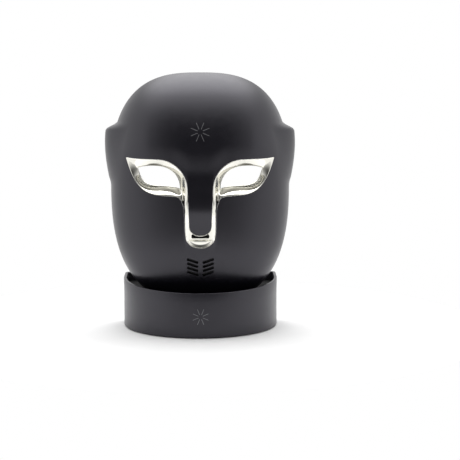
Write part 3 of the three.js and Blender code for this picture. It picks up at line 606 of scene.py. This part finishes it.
ROUND = 320
TURNS = np.linspace(0, 2 * math.pi, ROUND, endpoint=False) + math.pi / ROUND
REACHES = np.concatenate([
    [0.006], np.linspace(0.02, 0.93, 74), np.linspace(0.94, 1.06, 14), np.linspace(1.09, 1.98, 26),
])


def rows_of(reaches, depth, rim, winged, bridged, turns=TURNS):
    turn, reach = np.meshgrid(turns, reaches)
    return layer_point(turn, reach, np.full(turn.shape, float(depth)), rim, winged, bridged)


def skin_rows(shallow, deep, rim, winged=False, bridged=False, reaches=REACHES, turns=TURNS):
    """Rows of points from the middle of the face out to the rim, round its edge, and back inside."""
    outer = rows_of(reaches, shallow, rim, winged, bridged, turns)
    inner = rows_of(reaches, deep, rim, winged, bridged, turns)[::-1]
    last = rows_of([2.0], (shallow + deep) / 2, rim, winged, bridged, turns)[0]
    half = (deep - shallow) / 2
    lip = []
    for degrees in np.linspace(70, -70, 7):
        turn = math.radians(degrees)
        inward = outer[-1] - inner[0]
        side = unit(inward) * half * math.sin(turn)
        ahead = np.zeros_like(last)
        ahead[:, 1] = half * (math.cos(turn) - 1)
        lip.append(last + side + ahead)
    return np.concatenate([outer, np.array(lip), inner])


def skin(name, rows):
    """A closed shell from rows of points, with a fan of faces over the small hole at each end."""
    count, columns = rows.shape[:2]
    points = rows.reshape(-1, 3)
    ends = [rows[0].mean(0), rows[-1].mean(0)]
    faces = grid_faces(count, columns)
    first, last = len(points), len(points) + 1
    for j in range(columns):
        k = (j + 1) % columns
        faces.append((first, k, j))
        faces.append((last, (count - 1) * columns + j, (count - 1) * columns + k))
    return outward(make(name, np.vstack([points, ends]), faces))


def grid_surface(reaches, rim, winged, bridged):
    """The outer surface as points, faces and normals, for keep_normals."""
    turn, reach = np.meshgrid(TURNS, reaches)
    points = face_point(turn, reach, rim, winged, bridged)
    normals = face_normal(turn, reach, rim, winged, bridged)
    return points.reshape(-1, 3), grid_faces(*points.shape[:2]), normals.reshape(-1, 3)


SLOT_HALF_LENGTH = 5.9
SLOT_HALF_WIDTH = 1.4
SLOT_ROWS = 4
SLOT_X = 7.85
SLOT_BACK = -40
SLOT_TOP = 75.6
SLOT_PITCH = 4.3
SLOT_SLANT = 19


def mouth_slots():
    """Cutters for the eight slanting breathing slots."""
    slot = rounded_box(-SLOT_HALF_LENGTH, -SLOT_HALF_WIDTH, SLOT_HALF_LENGTH, SLOT_HALF_WIDTH, 0.9)
    slots = []
    for side in (1, -1):
        for row in range(SLOT_ROWS):
            turn = math.radians(SLOT_SLANT * side)
            spun = slot @ np.array([[math.cos(turn), math.sin(turn)], [-math.sin(turn), math.cos(turn)]])
            middle = (SLOT_X * side, SLOT_TOP - SLOT_PITCH * row)
            slots.append(prism("slot", spun + middle, AHEAD, SLOT_BACK))
    return slots


def side_hole(y, z, radius):
    return bar("hole", 85, 110, radius, (0, y, z), "x")


def box_ring(x0, y0, x1, y1, z):
    return np.array([(x0, y0, z), (x1, y0, z), (x1, y1, z), (x0, y1, z)], float)


def build_front_shell():
    shell = skin("front_shell_skin", skin_rows(0, SHELL_WALL, winged_rim, True, True))
    trim_opening = prism("opening", evened(grown(evened(TRIM_OUTLINE, 0.8), 0.12), 1.0), AHEAD, CUT_BACK)
    pocket = lofted("pocket", [box_ring(-15.4, -39.8, 15.4, -31.2, z) for z in (20, 33)])
    side_holes = [side_hole(*BUTTON, BUTTON_HOLE), side_hole(*LIGHT, LIGHT_HOLE)]
    combine(shell, merged([trim_opening, pocket, *side_holes, *mouth_slots()]))
    keep_normals(shell, grid_surface(REACHES, winged_rim, True, True))
    show(shell, "mask", "charcoal_shell", charcoal, "front_shell")


# ---------------------------------------------------------------- the chrome trim

LIP_PROUD = 0.6
LIP_RADIUS = 0.6
HOLE_RADIUS = 0.9
FUNNEL = 5.4
LOWER_FUNNEL = 4.1
TRIM_BACK = 7.4
SHOULDER = (14.8, 18)
BAND_Z = 97.7


def quarter_round(distance, radius):
    """How far a rounded edge falls away, at a distance in from it."""
    inward = np.clip(radius - distance, 0, radius)
    return radius - np.sqrt(np.maximum(0, radius**2 - inward**2))


def trim_front(points, outline, holes):
    """The trim's front: rounded edges, a funnel to each eye hole, sloping nose strips, a dished lip."""
    x, z = points.T
    out = distance_to(outline, points)
    hole = np.min([distance_to(h, points) for h in holes], 0)
    slope = out / np.maximum(out + hole, 1e-6)
    deep = FUNNEL + LOWER_FUNNEL * (1 - ease(158, 171, z))
    funnel = deep * slope**1.1 * (1 - ease(9, 16, hole))
    rise = bridge_rise(z) * (1 - ease(*SHOULDER, np.abs(x)))
    level = face_depth(x, z) - rise - LIP_PROUD
    on_strip = (1 - ease(126, 143, z)) * ease(97, 105, z)
    strip_slope = 0.66 * np.maximum(0, np.abs(x) - 11.9) * on_strip
    bead = 0.9 * np.clip(1 - ((out - 0.75) / 0.75) ** 2, 0, 1) * (1 - ease(93, 98, z))
    dish = np.clip(np.minimum(BAND_Z - z, out - 1.5) / 3.2, 0, 1)
    scoop = 2.3 * np.sqrt(1 - (1 - dish) ** 2)
    slit = distance_to(NOSTRIL_SLIT, points)
    edges = quarter_round(out, LIP_RADIUS) + quarter_round(hole, HOLE_RADIUS) + quarter_round(slit, 0.4)
    return level + funnel + strip_slope - bead + scoop + edges


def relief_points(loops, spacing, rings):
    """Points that fill an outline with holes: rows along its edges, and an even field between them."""
    outer, holes = loops[0], loops[1:]
    field = [np.vstack(loops)]
    for ring in rings:
        field.append(grown(outer, -ring))
        field += [grown(h, ring) for h in holes]
    low, high = outer.min(0), outer.max(0)
    rows = np.arange(low[1], high[1], spacing * 0.866)
    columns = np.arange(low[0], high[0], spacing)
    hexes = np.array([(x + (i % 2) * spacing / 2, z) for i, z in enumerate(rows) for x in columns])
    gap = np.min([distance_to(loop, hexes) for loop in loops], 0)
    field.append(hexes[gap > rings[-1] + spacing * 0.6])
    points = np.vstack(field)
    fixed = sum(len(loop) for loop in loops)
    good = inside(outer, points) & ~np.any([inside(h, points) for h in holes], 0)
    good[:fixed] = True
    return points[good]


def filled(loops, spacing, rings):
    """The inside of an outline with holes, given as closed loops, as flat points and triangles."""
    points = relief_points(loops, spacing, rings)
    edges, first = [], 0
    for loop in loops:
        edges += [(first + i, first + (i + 1) % len(loop)) for i in range(len(loop))]
        first += len(loop)
    flat, _, faces, *_ = delaunay_2d_cdt([Vector(p) for p in points], edges, [], 0, 1e-5)
    flat = np.array([(p.x, p.y) for p in flat])
    faces = np.array([f for f in faces if len(f) == 3])
    middles = flat[faces].mean(1)
    real = inside(loops[0], middles) & ~np.any([inside(h, middles) for h in loops[1:]], 0)
    faces = faces[real]
    used = np.unique(faces)
    renumber = {int(v): i for i, v in enumerate(used)}
    return flat[used], [[renumber[int(v)] for v in f] for f in faces]


def walls_between(faces, count):
    """Quads from the free edges of a sheet to those of its copy, whose points come count later."""
    free = {}
    for f in faces:
        for a, b in ((f[0], f[1]), (f[1], f[2]), (f[2], f[0])):
            free[(a, b)] = (b, a) not in free
            if not free[(a, b)]:
                free[(b, a)] = False
    return [(b, a, a + count, b + count) for (a, b), alone in free.items() if alone]


def build_trim():
    outline = evened(grown(evened(TRIM_OUTLINE, 0.7), -0.05), 0.7)
    holes = [evened(h, 0.7) for h in EYE_HOLES]
    loops = [outline, *holes, evened(NOSTRIL_SLIT, 0.5)]
    flat, faces = filled(loops, 1.0, (0.07, 0.18, 0.34, 0.55, 0.8, 1.15))
    count = len(flat)

    def front(along_x=0.0, along_z=0.0):
        return trim_front(flat + (along_x, along_z), outline, holes)

    back = np.maximum(face_depth(*flat.T) + TRIM_BACK, front() + 0.8)
    points = np.vstack([np.stack([flat[:, 0], depth, flat[:, 1]], -1) for depth in (front(), back)])
    backs = [[v + count for v in reversed(f)] for f in faces]
    trim = outward(make("chrome_trim", points, faces + backs + walls_between(faces, count)))

    step = 0.02
    slopes = [front(step) - front(-step), np.full(count, -2 * step), front(0, step) - front(0, -step)]
    normals = unit(np.stack(slopes, -1))
    mesh = trim.data
    corners = np.zeros((len(mesh.loops), 3))
    for polygon in mesh.polygons:
        is_front = max(polygon.vertices) < count
        for loop in polygon.loop_indices:
            vertex = mesh.loops[loop].vertex_index
            corners[loop] = normals[vertex] if is_front else polygon.normal
    mesh.normals_split_custom_set(corners.tolist())
    show(trim, "mask", "bright_chrome", chrome, "eye_nose_trim")


# ---------------------------------------------------------------- inside the mask

COARSE_TURNS = np.linspace(0, 2 * math.pi, 200, endpoint=False) + math.pi / 200
COARSE_REACHES = np.concatenate([[0.006], np.linspace(0.03, 0.95, 44), np.linspace(0.96, 1.04, 5),
                                 np.linspace(1.1, 1.98, 12)])


def coarse_skin(name, shallow, deep, rim=plain_rim):
    rows = skin_rows(shallow, deep, rim, reaches=COARSE_REACHES, turns=COARSE_TURNS)
    return skin(name, rows)


def build_window():
    sheet = coarse_skin("inner_window_sheet", *WINDOW, rim=lambda z: plain_rim(z) - 3.6)
    for side in (0, 1):
        combine(sheet, prism("cut", evened(grown(evened(EYE_HOLES[side], 1), 4.4), 1), AHEAD, 0))
    nose = np.array([(-17, 90), (17, 90), (15, 168), (-15, 168)], float)
    combine(sheet, prism("cut", nose, AHEAD, CUT_BACK))
    combine(sheet, prism("cut", rounded_box(-18, 61, 18, 84, 6), AHEAD, CUT_BACK))
    creased(sheet)
    show(sheet, "mask", "clear_window", window_clear, "inner_window")


def rim_ring(depth, ahead, winged=False):
    """A ring that follows the rear rim, at a depth inside the outer surface and a distance in front."""
    reach = np.full(TURNS.shape, 2.0)
    ring = layer_point(TURNS, reach, np.full(TURNS.shape, float(depth)), winged_rim, winged)
    ring[:, 1] = winged_rim(MIDDLE + outline_radius(TURNS) * np.sin(TURNS)) - ahead
    return ring


FRAME_SCREWS = [math.radians(a) for a in (0, 180, 78, 102, -72, -108)]


def frame_screw_places():
    for turn in FRAME_SCREWS:
        turn = np.array([turn])
        place = layer_point(turn, np.array([1.45]), np.array([6.4]))[0]
        rim = winged_rim(MIDDLE + outline_radius(turn) * np.sin(turn))[0]
        yield place[0], rim, place[2]


def build_rear_frame():
    outer, inner = SHELL_WALL + 0.3, 12.4
    profile = [(outer, 3), (outer, 1.2), (outer + 0.25, 0.55), (outer + 0.9, 0.2),
               (inner - 1.0, 0.2), (inner - 0.3, 0.5), (inner, 1.2), (inner, 3)]
    rings = []
    for depth, ahead in profile:
        share = (depth - outer) / (inner - outer)
        rings.append(rim_ring(outer, ahead, True) * (1 - share) + rim_ring(inner, ahead) * share)
    ring = tube("rear_frame_ring", rings)
    for x, y, z in frame_screw_places():
        combine(ring, bar("cut", y - 1.3, y + 3, 2.7, (x, 0, z), "y", count=32))
    creased(ring, 40)
    show(ring, "mask", "dark_plastic", dark_plastic, "rear_frame")


def screw(name, x, y, z, shank):
    """A pan head screw that faces back, with a six-point recess."""
    profile = [(y - shank, 0.001), (y - shank, 0.9), (y - shank + 0.6, 1.1), (y - 1, 1.1), (y - 1, 2.25),
               (y - 0.55, 2.3), (y - 0.25, 2.05), (y - 0.1, 1.6), (y - 0.1, 0.001)]
    body = turned(name, profile, (x, 0, z), axis="y", count=40)
    star = []
    for i in range(24):
        radius = 1.05 + 0.16 * math.cos(6 * i * math.pi / 12)
        star.append((x + radius * math.cos(i * math.pi / 12), z + radius * math.sin(i * math.pi / 12)))
    combine(body, prism("cut", np.array(star), y - 0.7, y + 1))
    return creased(body)


def build_frame_screws():
    for i, (x, y, z) in enumerate(frame_screw_places(), 1):
        low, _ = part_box(f"frame_screw_{i}")
        piece = screw(f"frame_screw_body_{i}", x, y, z, y - low.y / MM)
        show(piece, "mask", "steel", steel, f"frame_screw_{i}")


def build_wing_covers():
    count = 20
    for side, word in ((1, "right"), (-1, "left")):
        sines = np.linspace(0.2, 0.475, count)
        turns = np.arcsin(sines) if side > 0 else math.pi - np.arcsin(sines)
        rows = []
        for depth in WINDOW:
            edge = layer_point(turns, np.full(count, 2.0), np.full(count, float(depth)))
            outline_z = MIDDLE + outline_radius(turns) * np.sin(turns)
            front, back = edge.copy(), edge.copy()
            front[:, 1] = plain_rim(outline_z) - 2
            back[:, 1] = winged_rim(outline_z) - 5
            rows += [front, back] if depth == WINDOW[0] else [back, front]
        cover = lofted(f"{word}_wing_wall", list(np.array(rows).transpose(1, 0, 2)))
        softened(creased(cover), 0.3)
        show(cover, "mask", "dark_plastic", dark_plastic, f"{word}_wing_cover")


LED_HALF = 1.5
DOME_RADIUS = 1.1


def led(place, normal, number):
    """Points and faces of one LED: a square package with a round dome, and which faces are the dome."""
    across = unit(np.cross(normal, (0, 0, 1)))
    up = np.cross(normal, across)
    rings = []
    square = rounded_box(-LED_HALF, -LED_HALF, LED_HALF, LED_HALF, 0.35, 3)
    for height, scale in ((-0.9, 1), (0.35, 1), (0.5, 0.93)):
        rings.append((square * scale, height))
    angles = np.linspace(0, 2 * math.pi, len(square), endpoint=False) - 3 * math.pi / 4 + 0.52
    circle = np.stack([np.cos(angles), np.sin(angles)], -1)
    for degrees in (0, 20, 40, 60, 78):
        turn = math.radians(degrees)
        rings.append((circle * DOME_RADIUS * math.cos(turn), 0.5 + DOME_RADIUS / 2 * math.sin(turn)))
    points = np.concatenate([place + r[:, :1] * across + r[:, 1:] * up + normal * h for r, h in rings])
    columns = len(square)
    faces = grid_faces(len(rings), columns, first=number)
    faces.append([number + (len(rings) - 1) * columns + j for j in range(columns)])
    faces.append([number + j for j in reversed(range(columns))])
    lens = [i // columns >= 3 for i in range((len(rings) - 1) * columns)] + [True, False]
    return points, faces, lens


def behind_face(x, z, depth):
    """The point behind the front of the face, and the way to the wearer there."""
    normal = front_normal(x, z, 0.5)
    return np.array([x, float(face_depth(x, z)), z]) - normal * depth, -normal


def build_led_board(name, outline, places, replaced):
    board = coarse_skin(name, *LED_BOARD, rim=lambda z: plain_rim(z) - 4)
    combine(board, prism("cut", outline, AHEAD, -5), "INTERSECT")
    creased(board)
    show(board, "mask", "led_board", board_white, replaced)
    points, faces, lens, total = [], [], [], 0
    for x, z in places:
        place, normal = behind_face(x, z, LED_BOARD[1] + 0.8)
        some, quads, dome = led(place, normal, total)
        points.append(some)
        faces += quads
        lens += dome
        total += len(some)
    lamps = make(f"{name}_lamps", np.concatenate(points), faces)
    lamps.data.polygons.foreach_set("material_index", [int(v) for v in lens])
    creased(lamps)
    show(lamps, "mask", "led_board", (led_body, led_lens))


def build_led_boards():
    rows = [(x, z) for z in (194, 205, 216, 227) for x in np.linspace(-50, 50, 9)]
    build_led_board("forehead_board", rounded_box(-62, 187, 62, 240, 14), rows, "led_board_forehead")
    rows = [(x, 50) for x in np.linspace(-24, 24, 6)]
    build_led_board("chin_board", rounded_box(-33, 41.5, 33, 58.5, 8), rows, "led_board_chin")
    for side, word in ((1, "right"), (-1, "left")):
        outline = rounded_box(22, 78, 76, 133, 14)
        if side < 0:
            outline = mirrored(outline)
        rows = [(x * side, z) for z in (86, 98, 110, 122) for x in np.linspace(31, 67, 4)]
        build_led_board(f"{word}_cheek_board", outline, rows, f"led_board_{word}_cheek")


# The eye cup's section, as distance out from the eye hole and depth behind the face.
CUP_PROFILE = [
    (1.2, 9.6), (1.3, 13), (1.7, 17), (2.9, 21.2), (3.4, 21.9), (4.2, 22), (4.8, 21.5), (4.9, 20.8),
    (3.9, 17.5), (3.2, 13), (3.0, 9.6), (2.6, 9.4), (1.6, 9.4),
]


def build_eye_cups():
    for side, word in ((0, "right"), (1, "left")):
        hole = evened(EYE_HOLES[side], 1.6)
        along = unit(np.roll(hole, -1, 0) - np.roll(hole, 1, 0))
        for _ in range(3):
            along = unit(np.roll(along, 1, 0) + along * 2 + np.roll(along, -1, 0))
        away = np.stack([along[:, 1], -along[:, 0]], -1)
        rings = []
        for offset, depth in CUP_PROFILE:
            moved = hole + away * offset
            y = face_depth(moved[:, 0], moved[:, 1]) + depth
            rings.append(np.stack([moved[:, 0], y, moved[:, 1]], -1))
        cup = tube(f"{word}_eye_shade", rings)
        creased(cup, 50)
        show(cup, "mask", "grey_silicone", pale_silicone, f"{word}_eye_cup")


# ---------------------------------------------------------------- temple arms and button


def arm_outline():
    _, y, z = HINGE
    top = chain((y + 2.6, z + 4.7), ((72, 194.6), (82, 194.4), (92, 193.6)), count=14)
    low = chain((92, 186.6), ((82, 186.2), (72, 185.6), (y + 2.6, z - 4.7)), count=14)
    return np.vstack([top, low])


def ear_hook(name, x):
    """The soft tip: an oval section swept down behind the ear, with round ends."""
    upper = bezier((92.4, 194.9), (104, 194.2), (115.4, 188), (119.2, 170), count=40)
    lower = bezier((92.4, 185.4), (103, 184.6), (109, 178), (111.4, 168.4), count=40)
    middle = (upper + lower) / 2
    reach = np.linalg.norm(upper - lower, axis=1) / 2
    across = unit(upper - lower)
    rings = []

    def section(centre, way, half_width, half_thick):
        turns = np.linspace(0, 2 * math.pi, 32, endpoint=False)
        wide = np.sign(np.cos(turns)) * np.abs(np.cos(turns)) ** 0.8 * half_width
        thick = np.sign(np.sin(turns)) * np.abs(np.sin(turns)) ** 0.8 * half_thick
        place = centre + wide[:, None] * way
        return np.stack([x + thick, place[:, 0], place[:, 1]], -1)

    for inset in (0.9, 0.5, 0.2):
        rings.append(section(middle[0], across[0], reach[0] - inset, 3 - inset))
    for centre, way, half in zip(middle[2:], across[2:], reach[2:]):
        rings.append(section(centre, way, half, 3))
    onwards = unit(middle[-1] - middle[-2])
    for degrees in np.linspace(15, 88, 8):
        turn = math.radians(degrees)
        centre = middle[-1] + onwards * reach[-1] * math.sin(turn)
        rings.append(section(centre, across[-1], reach[-1] * math.cos(turn), 3 * math.cos(turn) ** 0.7))
    return lofted(name, rings)


def build_arms():
    for side, word in ((1, "right"), (-1, "left")):
        x, y, z = HINGE[0] * side, HINGE[1], HINGE[2]
        blade = prism(f"{word}_arm_blade", arm_outline(), x - 2, x + 2, axis="x")
        combine(blade, bar("join", z - 5, z + 5, 4.1, (x, y, 0), "z"), "UNION")
        tang = rounded_box(91, 187.9, 103, 191.7, 0.6, 4)
        combine(blade, prism("join", tang, x - 1, x + 1, axis="x"), "UNION")
        combine(blade, bar("cut", z - 12, z + 12, 1.6, (x, y, 0), "z"))
        softened(creased(blade), 0.5)
        show(blade, f"{word}_arm", "charcoal_shell", arm_charcoal, f"{word}_temple_arm")
        tip = creased(ear_hook(f"{word}_ear_hook", x), 50)
        show(tip, f"{word}_arm", "dark_silicone", dark_silicone, f"{word}_ear_tip")


def build_button():
    y, z = BUTTON
    flange = [(-6, 0.001), (-6, 5.8), (-5.8, 6), (-5.1, 6), (-5, 5.9), (-5, 5)]
    face = [(-0.8, 5), (-0.4, 4.9), (-0.1, 4.6), (0, 4.2), (-0.05, 3.4), (-0.2, 2), (-0.28, 0.001)]
    profile = [(BUTTON_FACE + along, radius) for along, radius in flange + face]
    button = creased(turned("power_button_cap", profile, (0, y, z), count=64), 40)
    show(button, "button", "charcoal_shell", charcoal, "power_button")


# ---------------------------------------------------------------- the dock


def dock_plan(inset):
    """The dock's plan, drawn in from its outer face: an arc in front, and a flat back."""
    a, b, back = DOCK_HALF_WIDTH - inset, DOCK_FRONT - inset, DOCK_BACK - inset
    corner = max(1, DOCK_CORNER - inset)
    turns = np.radians(np.linspace(180, 360, 145))
    front = np.stack([a * np.cos(turns), b * np.sin(turns)], -1)
    corners = []
    for x, first in ((a - corner, 0), (corner - a, 90)):
        turns = np.radians(np.linspace(first, first + 90, 14))
        corners.append(np.stack([x + corner * np.cos(turns), back - corner + corner * np.sin(turns)], -1))
    sides = [[(a, y)] for y in np.linspace(0, back - corner, 6)[1:-1]]
    left = [[(-a, y)] for y in np.linspace(back - corner, 0, 6)[1:-1]]
    across = [[(x, back)] for x in np.linspace(a - corner, corner - a, 30)[1:-1]]
    return np.vstack([front, *sides, corners[0], *across, corners[1], *left])


def rim_height(y):
    return DOCK_FRONT_HEIGHT + (y + DOCK_FRONT) * DOCK_RIM_SLOPE


def build_dock_housing():
    edge = 0.9

    def level(inset, height=None, drop=0.0):
        plan = dock_plan(inset)
        z = np.full(len(plan), float(height)) if height is not None else rim_height(plan[:, 1]) - drop
        return np.column_stack([plan, z])

    foot_round = ((1.0, 0), (0.4, 0.15), (0.1, 0.5), (0, 1))
    rings = [level(inset, DOCK_FOOT + height) for inset, height in foot_round]
    rings += [level(0, height) for height in (12, 24, 36)]
    for degrees in (0, 22, 45, 68, 90):
        turn = math.radians(degrees)
        rings.append(level(edge * (1 - math.cos(turn)), drop=edge * (1 - math.sin(turn))))
    for degrees in (90, 68, 45, 22, 0):
        turn = math.radians(degrees)
        inset = DOCK_WALL - edge * (1 - math.cos(turn))
        rings.append(level(inset, drop=edge * (1 - math.sin(turn))))
    rings += [level(DOCK_WALL, height) for height in (30, 12, DOCK_FOOT)]
    housing = tube("dock_wall", rings)
    combine(housing, prism("cut", rounded_box(-5, 9.6, 5, 13.4, 1.7), 15, 30))
    creased(housing)
    show(housing, "dock", "charcoal_shell", charcoal, "dock_housing")


def mask_body(name, margin):
    """The mask's lower half as one solid, with a margin all round."""
    rows = rows_of(COARSE_REACHES, -margin, plain_rim, False, False, COARSE_TURNS)
    return lofted(name, list(rows))


def build_cradle():
    def slab(drop, low, inset):
        plan = dock_plan(inset)
        return [np.column_stack([plan, np.full(len(plan), float(low))]),
                np.column_stack([plan, rim_height(plan[:, 1]) - drop])]

    deck = lofted("dock_deck", slab(9, 22, DOCK_WALL + 0.3))
    hollow = lofted("hollow", slab(12, 10, DOCK_WALL + 2.5))
    combine(hollow, mask_body("bowl", 5.4))
    combine(deck, hollow)
    combine(deck, mask_body("recess", 2.6))
    window = rounded_box(-16.6, -42.6, 16.6, -28.4, 1.5)
    combine(deck, prism("cut", window, 10, 40, axis="z"))
    creased(deck)
    # The deck is shown in the near-black material that paints in the shade inside the dock.
    show(deck, "dock", "dark_plastic", deck_plastic_painted_shade, "dock_cradle")


def build_charging_pins():
    for i in (1, 2, 3, 4):
        low, high = (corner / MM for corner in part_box(f"charging_pin_{i}"))
        x, y = (low.x + high.x) / 2, (low.y + high.y) / 2
        top = high.z
        profile = [(low.z, 0.001), (low.z, 1.0), (low.z + 0.2, 1.1), (top - 0.9, 1.1), (top - 0.75, 1.0),
                   (top - 0.7, 0.7), (top - 0.3, 0.68), (top - 0.1, 0.5), (top - 0.02, 0.25), (top, 0.001)]
        pin = creased(turned(f"charging_pin_body_{i}", profile, (x, y, 0), axis="z", count=32))
        show(pin, f"pin_{i}", "gold", gold, f"charging_pin_{i}")


# ---------------------------------------------------------------- the marks


def strip(points, out, width, lift, sink):
    """One narrow line along points on a surface whose outward normals are out."""
    along = unit(np.gradient(points, axis=0))
    side = unit(np.cross(along, out)) * width / 2
    rings = [points + side + out * lift, points - side + out * lift, points - side - out * sink,
             points + side - out * sink]
    return np.array(rings).transpose(1, 0, 2)


def build_mark(name, body, centre_z, radius, surface):
    """Eight plain rays round an open middle, printed as one thin line each."""
    count = 10
    points, faces, first = [], [], 0
    for ray in range(8):
        turn = math.radians(22.5 + 45 * ray)
        reach = np.linspace(0.28, 1, count) * radius
        x, z = reach * math.cos(turn), centre_z + reach * math.sin(turn)
        place, out = surface(x, z)
        line = strip(place, out, 0.55, 0.03, 0.3)
        points.append(line.reshape(-1, 3))
        faces += grid_faces(count, 4, first=first)
        faces += [[first + k for k in (3, 2, 1, 0)], [first + (count - 1) * 4 + k for k in range(4)]]
        first += count * 4
    mark = make(name, np.concatenate(points), faces)
    bpy.context.view_layer.update()
    creased(mark)
    show(mark, body, "charcoal_shell", mark_ink)


def on_forehead(x, z):
    return np.stack([x, face_depth(x, z), z], -1), front_normal(x, z, 0.3)


def on_dock(x, z):
    a, b = DOCK_HALF_WIDTH, DOCK_FRONT - 0.03
    y = -b * np.sqrt(1 - (x / a) ** 2)
    out = unit(np.stack([x / a**2, y / b**2, 0 * x], -1))
    return np.stack([x, y, z], -1), out


# ---------------------------------------------------------------- carried CAD nodes


def finish_cad_nodes():
    """Every CAD node that is still shown gets its slot's finish and softened edges."""
    slots = {part["node"]: part["material_slot"] for part in frame["record"]["subparts"]}
    for name, piece in frame["nodes"].items():
        piece.data.materials.clear()
        piece.data.materials.append(BY_SLOT[slots[name]])
        if not piece.hide_render:
            softened(piece, 0.22, 2, 40)


# ---------------------------------------------------------------- studio


def glow_from(tree, way, direction, start, end, low, high, squash=1.0):
    """Brightness by direction: low at start and high at end, which are angles from a direction.

    A squash under 1 stretches the zone upwards and downwards.
    """
    link = tree.links.new
    flattened = node(tree, "ShaderNodeVectorMath", operation="MULTIPLY")
    flattened.inputs[1].default_value = (1, 1, squash)
    link(way.outputs["Generated"], flattened.inputs[0])
    even = node(tree, "ShaderNodeVectorMath", operation="NORMALIZE")
    link(flattened.outputs["Vector"], even.inputs[0])
    facing = node(tree, "ShaderNodeVectorMath", operation="DOT_PRODUCT")
    facing.inputs[1].default_value = Vector(direction).normalized()
    link(even.outputs["Vector"], facing.inputs[0])
    spread = node(tree, "ShaderNodeMapRange", interpolation_type="SMOOTHSTEP",
                  From_Min=math.cos(math.radians(start)), From_Max=math.cos(math.radians(end)),
                  To_Min=low, To_Max=high)
    link(facing.outputs["Value"], spread.inputs["Value"])
    return spread.outputs["Result"]


# Directions to the middle of the studio's dark end and of its overhead light.
DARK_ZONE = (0, -0.806, 0.592)
OVERHEAD = (0, 0.254, 0.967)


def build_world():
    """A white studio with a big soft light overhead, darker in front where the photographer stands."""
    world = bpy.data.worlds.new("studio")
    bpy.context.scene.world = world
    world.use_nodes = True
    tree = world.node_tree
    link = tree.links.new
    background = tree.nodes["Background"]
    background.inputs["Color"].default_value = (1, 1, 1, 1)
    way = node(tree, "ShaderNodeTexCoord")
    room = glow_from(tree, way, DARK_ZONE, 76, 1, 1.02, 0.03, squash=0.35)
    overhead = glow_from(tree, way, OVERHEAD, 45, 0, 0, 3.2)
    total = node(tree, "ShaderNodeMath", operation="ADD")
    link(room, total.inputs[0])
    link(overhead, total.inputs[1])
    seen = node(tree, "ShaderNodeLightPath")
    pick = node(tree, "ShaderNodeMix", data_type="FLOAT")
    link(seen.outputs["Is Camera Ray"], pick.inputs[0])
    link(total.outputs[0], pick.inputs[2])
    pick.inputs[3].default_value = 1.0
    link(pick.outputs[0], background.inputs["Strength"])


FLOOR_RADIUS = 300
# The camera's place in metres, and the angles that it is turned by, in degrees.
CAMERA_DISTANCE = 1.2
CAMERA_HEIGHT = 0.227
LOOK_DOWN = 6.04
LOOK_RIGHT = 1.497


def build_floor():
    """A round pale floor."""
    turns = np.linspace(0, 2 * math.pi, 96, endpoint=False)
    rim = np.stack([FLOOR_RADIUS * np.cos(turns), FLOOR_RADIUS * np.sin(turns), 0 * turns], -1)
    floor = make("studio_floor", rim, [list(range(len(rim)))])
    floor.data.materials.append(finish("pale_floor", (0.85, 0.85, 0.85), 0.9, bump=0.02, mottle=0.01))


def build_studio():
    scene = bpy.context.scene
    scene.view_settings.view_transform = "Standard"
    build_world()
    build_floor()
    camera_data = bpy.data.cameras.new("camera")
    camera_data.lens = 89.2
    camera_data.sensor_width = 36
    camera = bpy.data.objects.new("camera", camera_data)
    camera.location = (0, -CAMERA_DISTANCE, CAMERA_HEIGHT)
    camera.rotation_euler = (math.radians(90 - LOOK_DOWN), 0, math.radians(-LOOK_RIGHT))
    scene.collection.objects.link(camera)
    scene.camera = camera


# ---------------------------------------------------------------- the object

build_studio()
build_front_shell()
build_trim()
build_window()
build_rear_frame()
build_frame_screws()
build_wing_covers()
build_led_boards()
build_eye_cups()
build_arms()
build_button()
build_dock_housing()
build_cradle()
build_charging_pins()
build_mark("forehead_mark", "mask", surface=on_forehead, **FOREHEAD_MARK)
build_mark("dock_mark", "dock", surface=on_dock, **DOCK_MARK)
finish_cad_nodes()
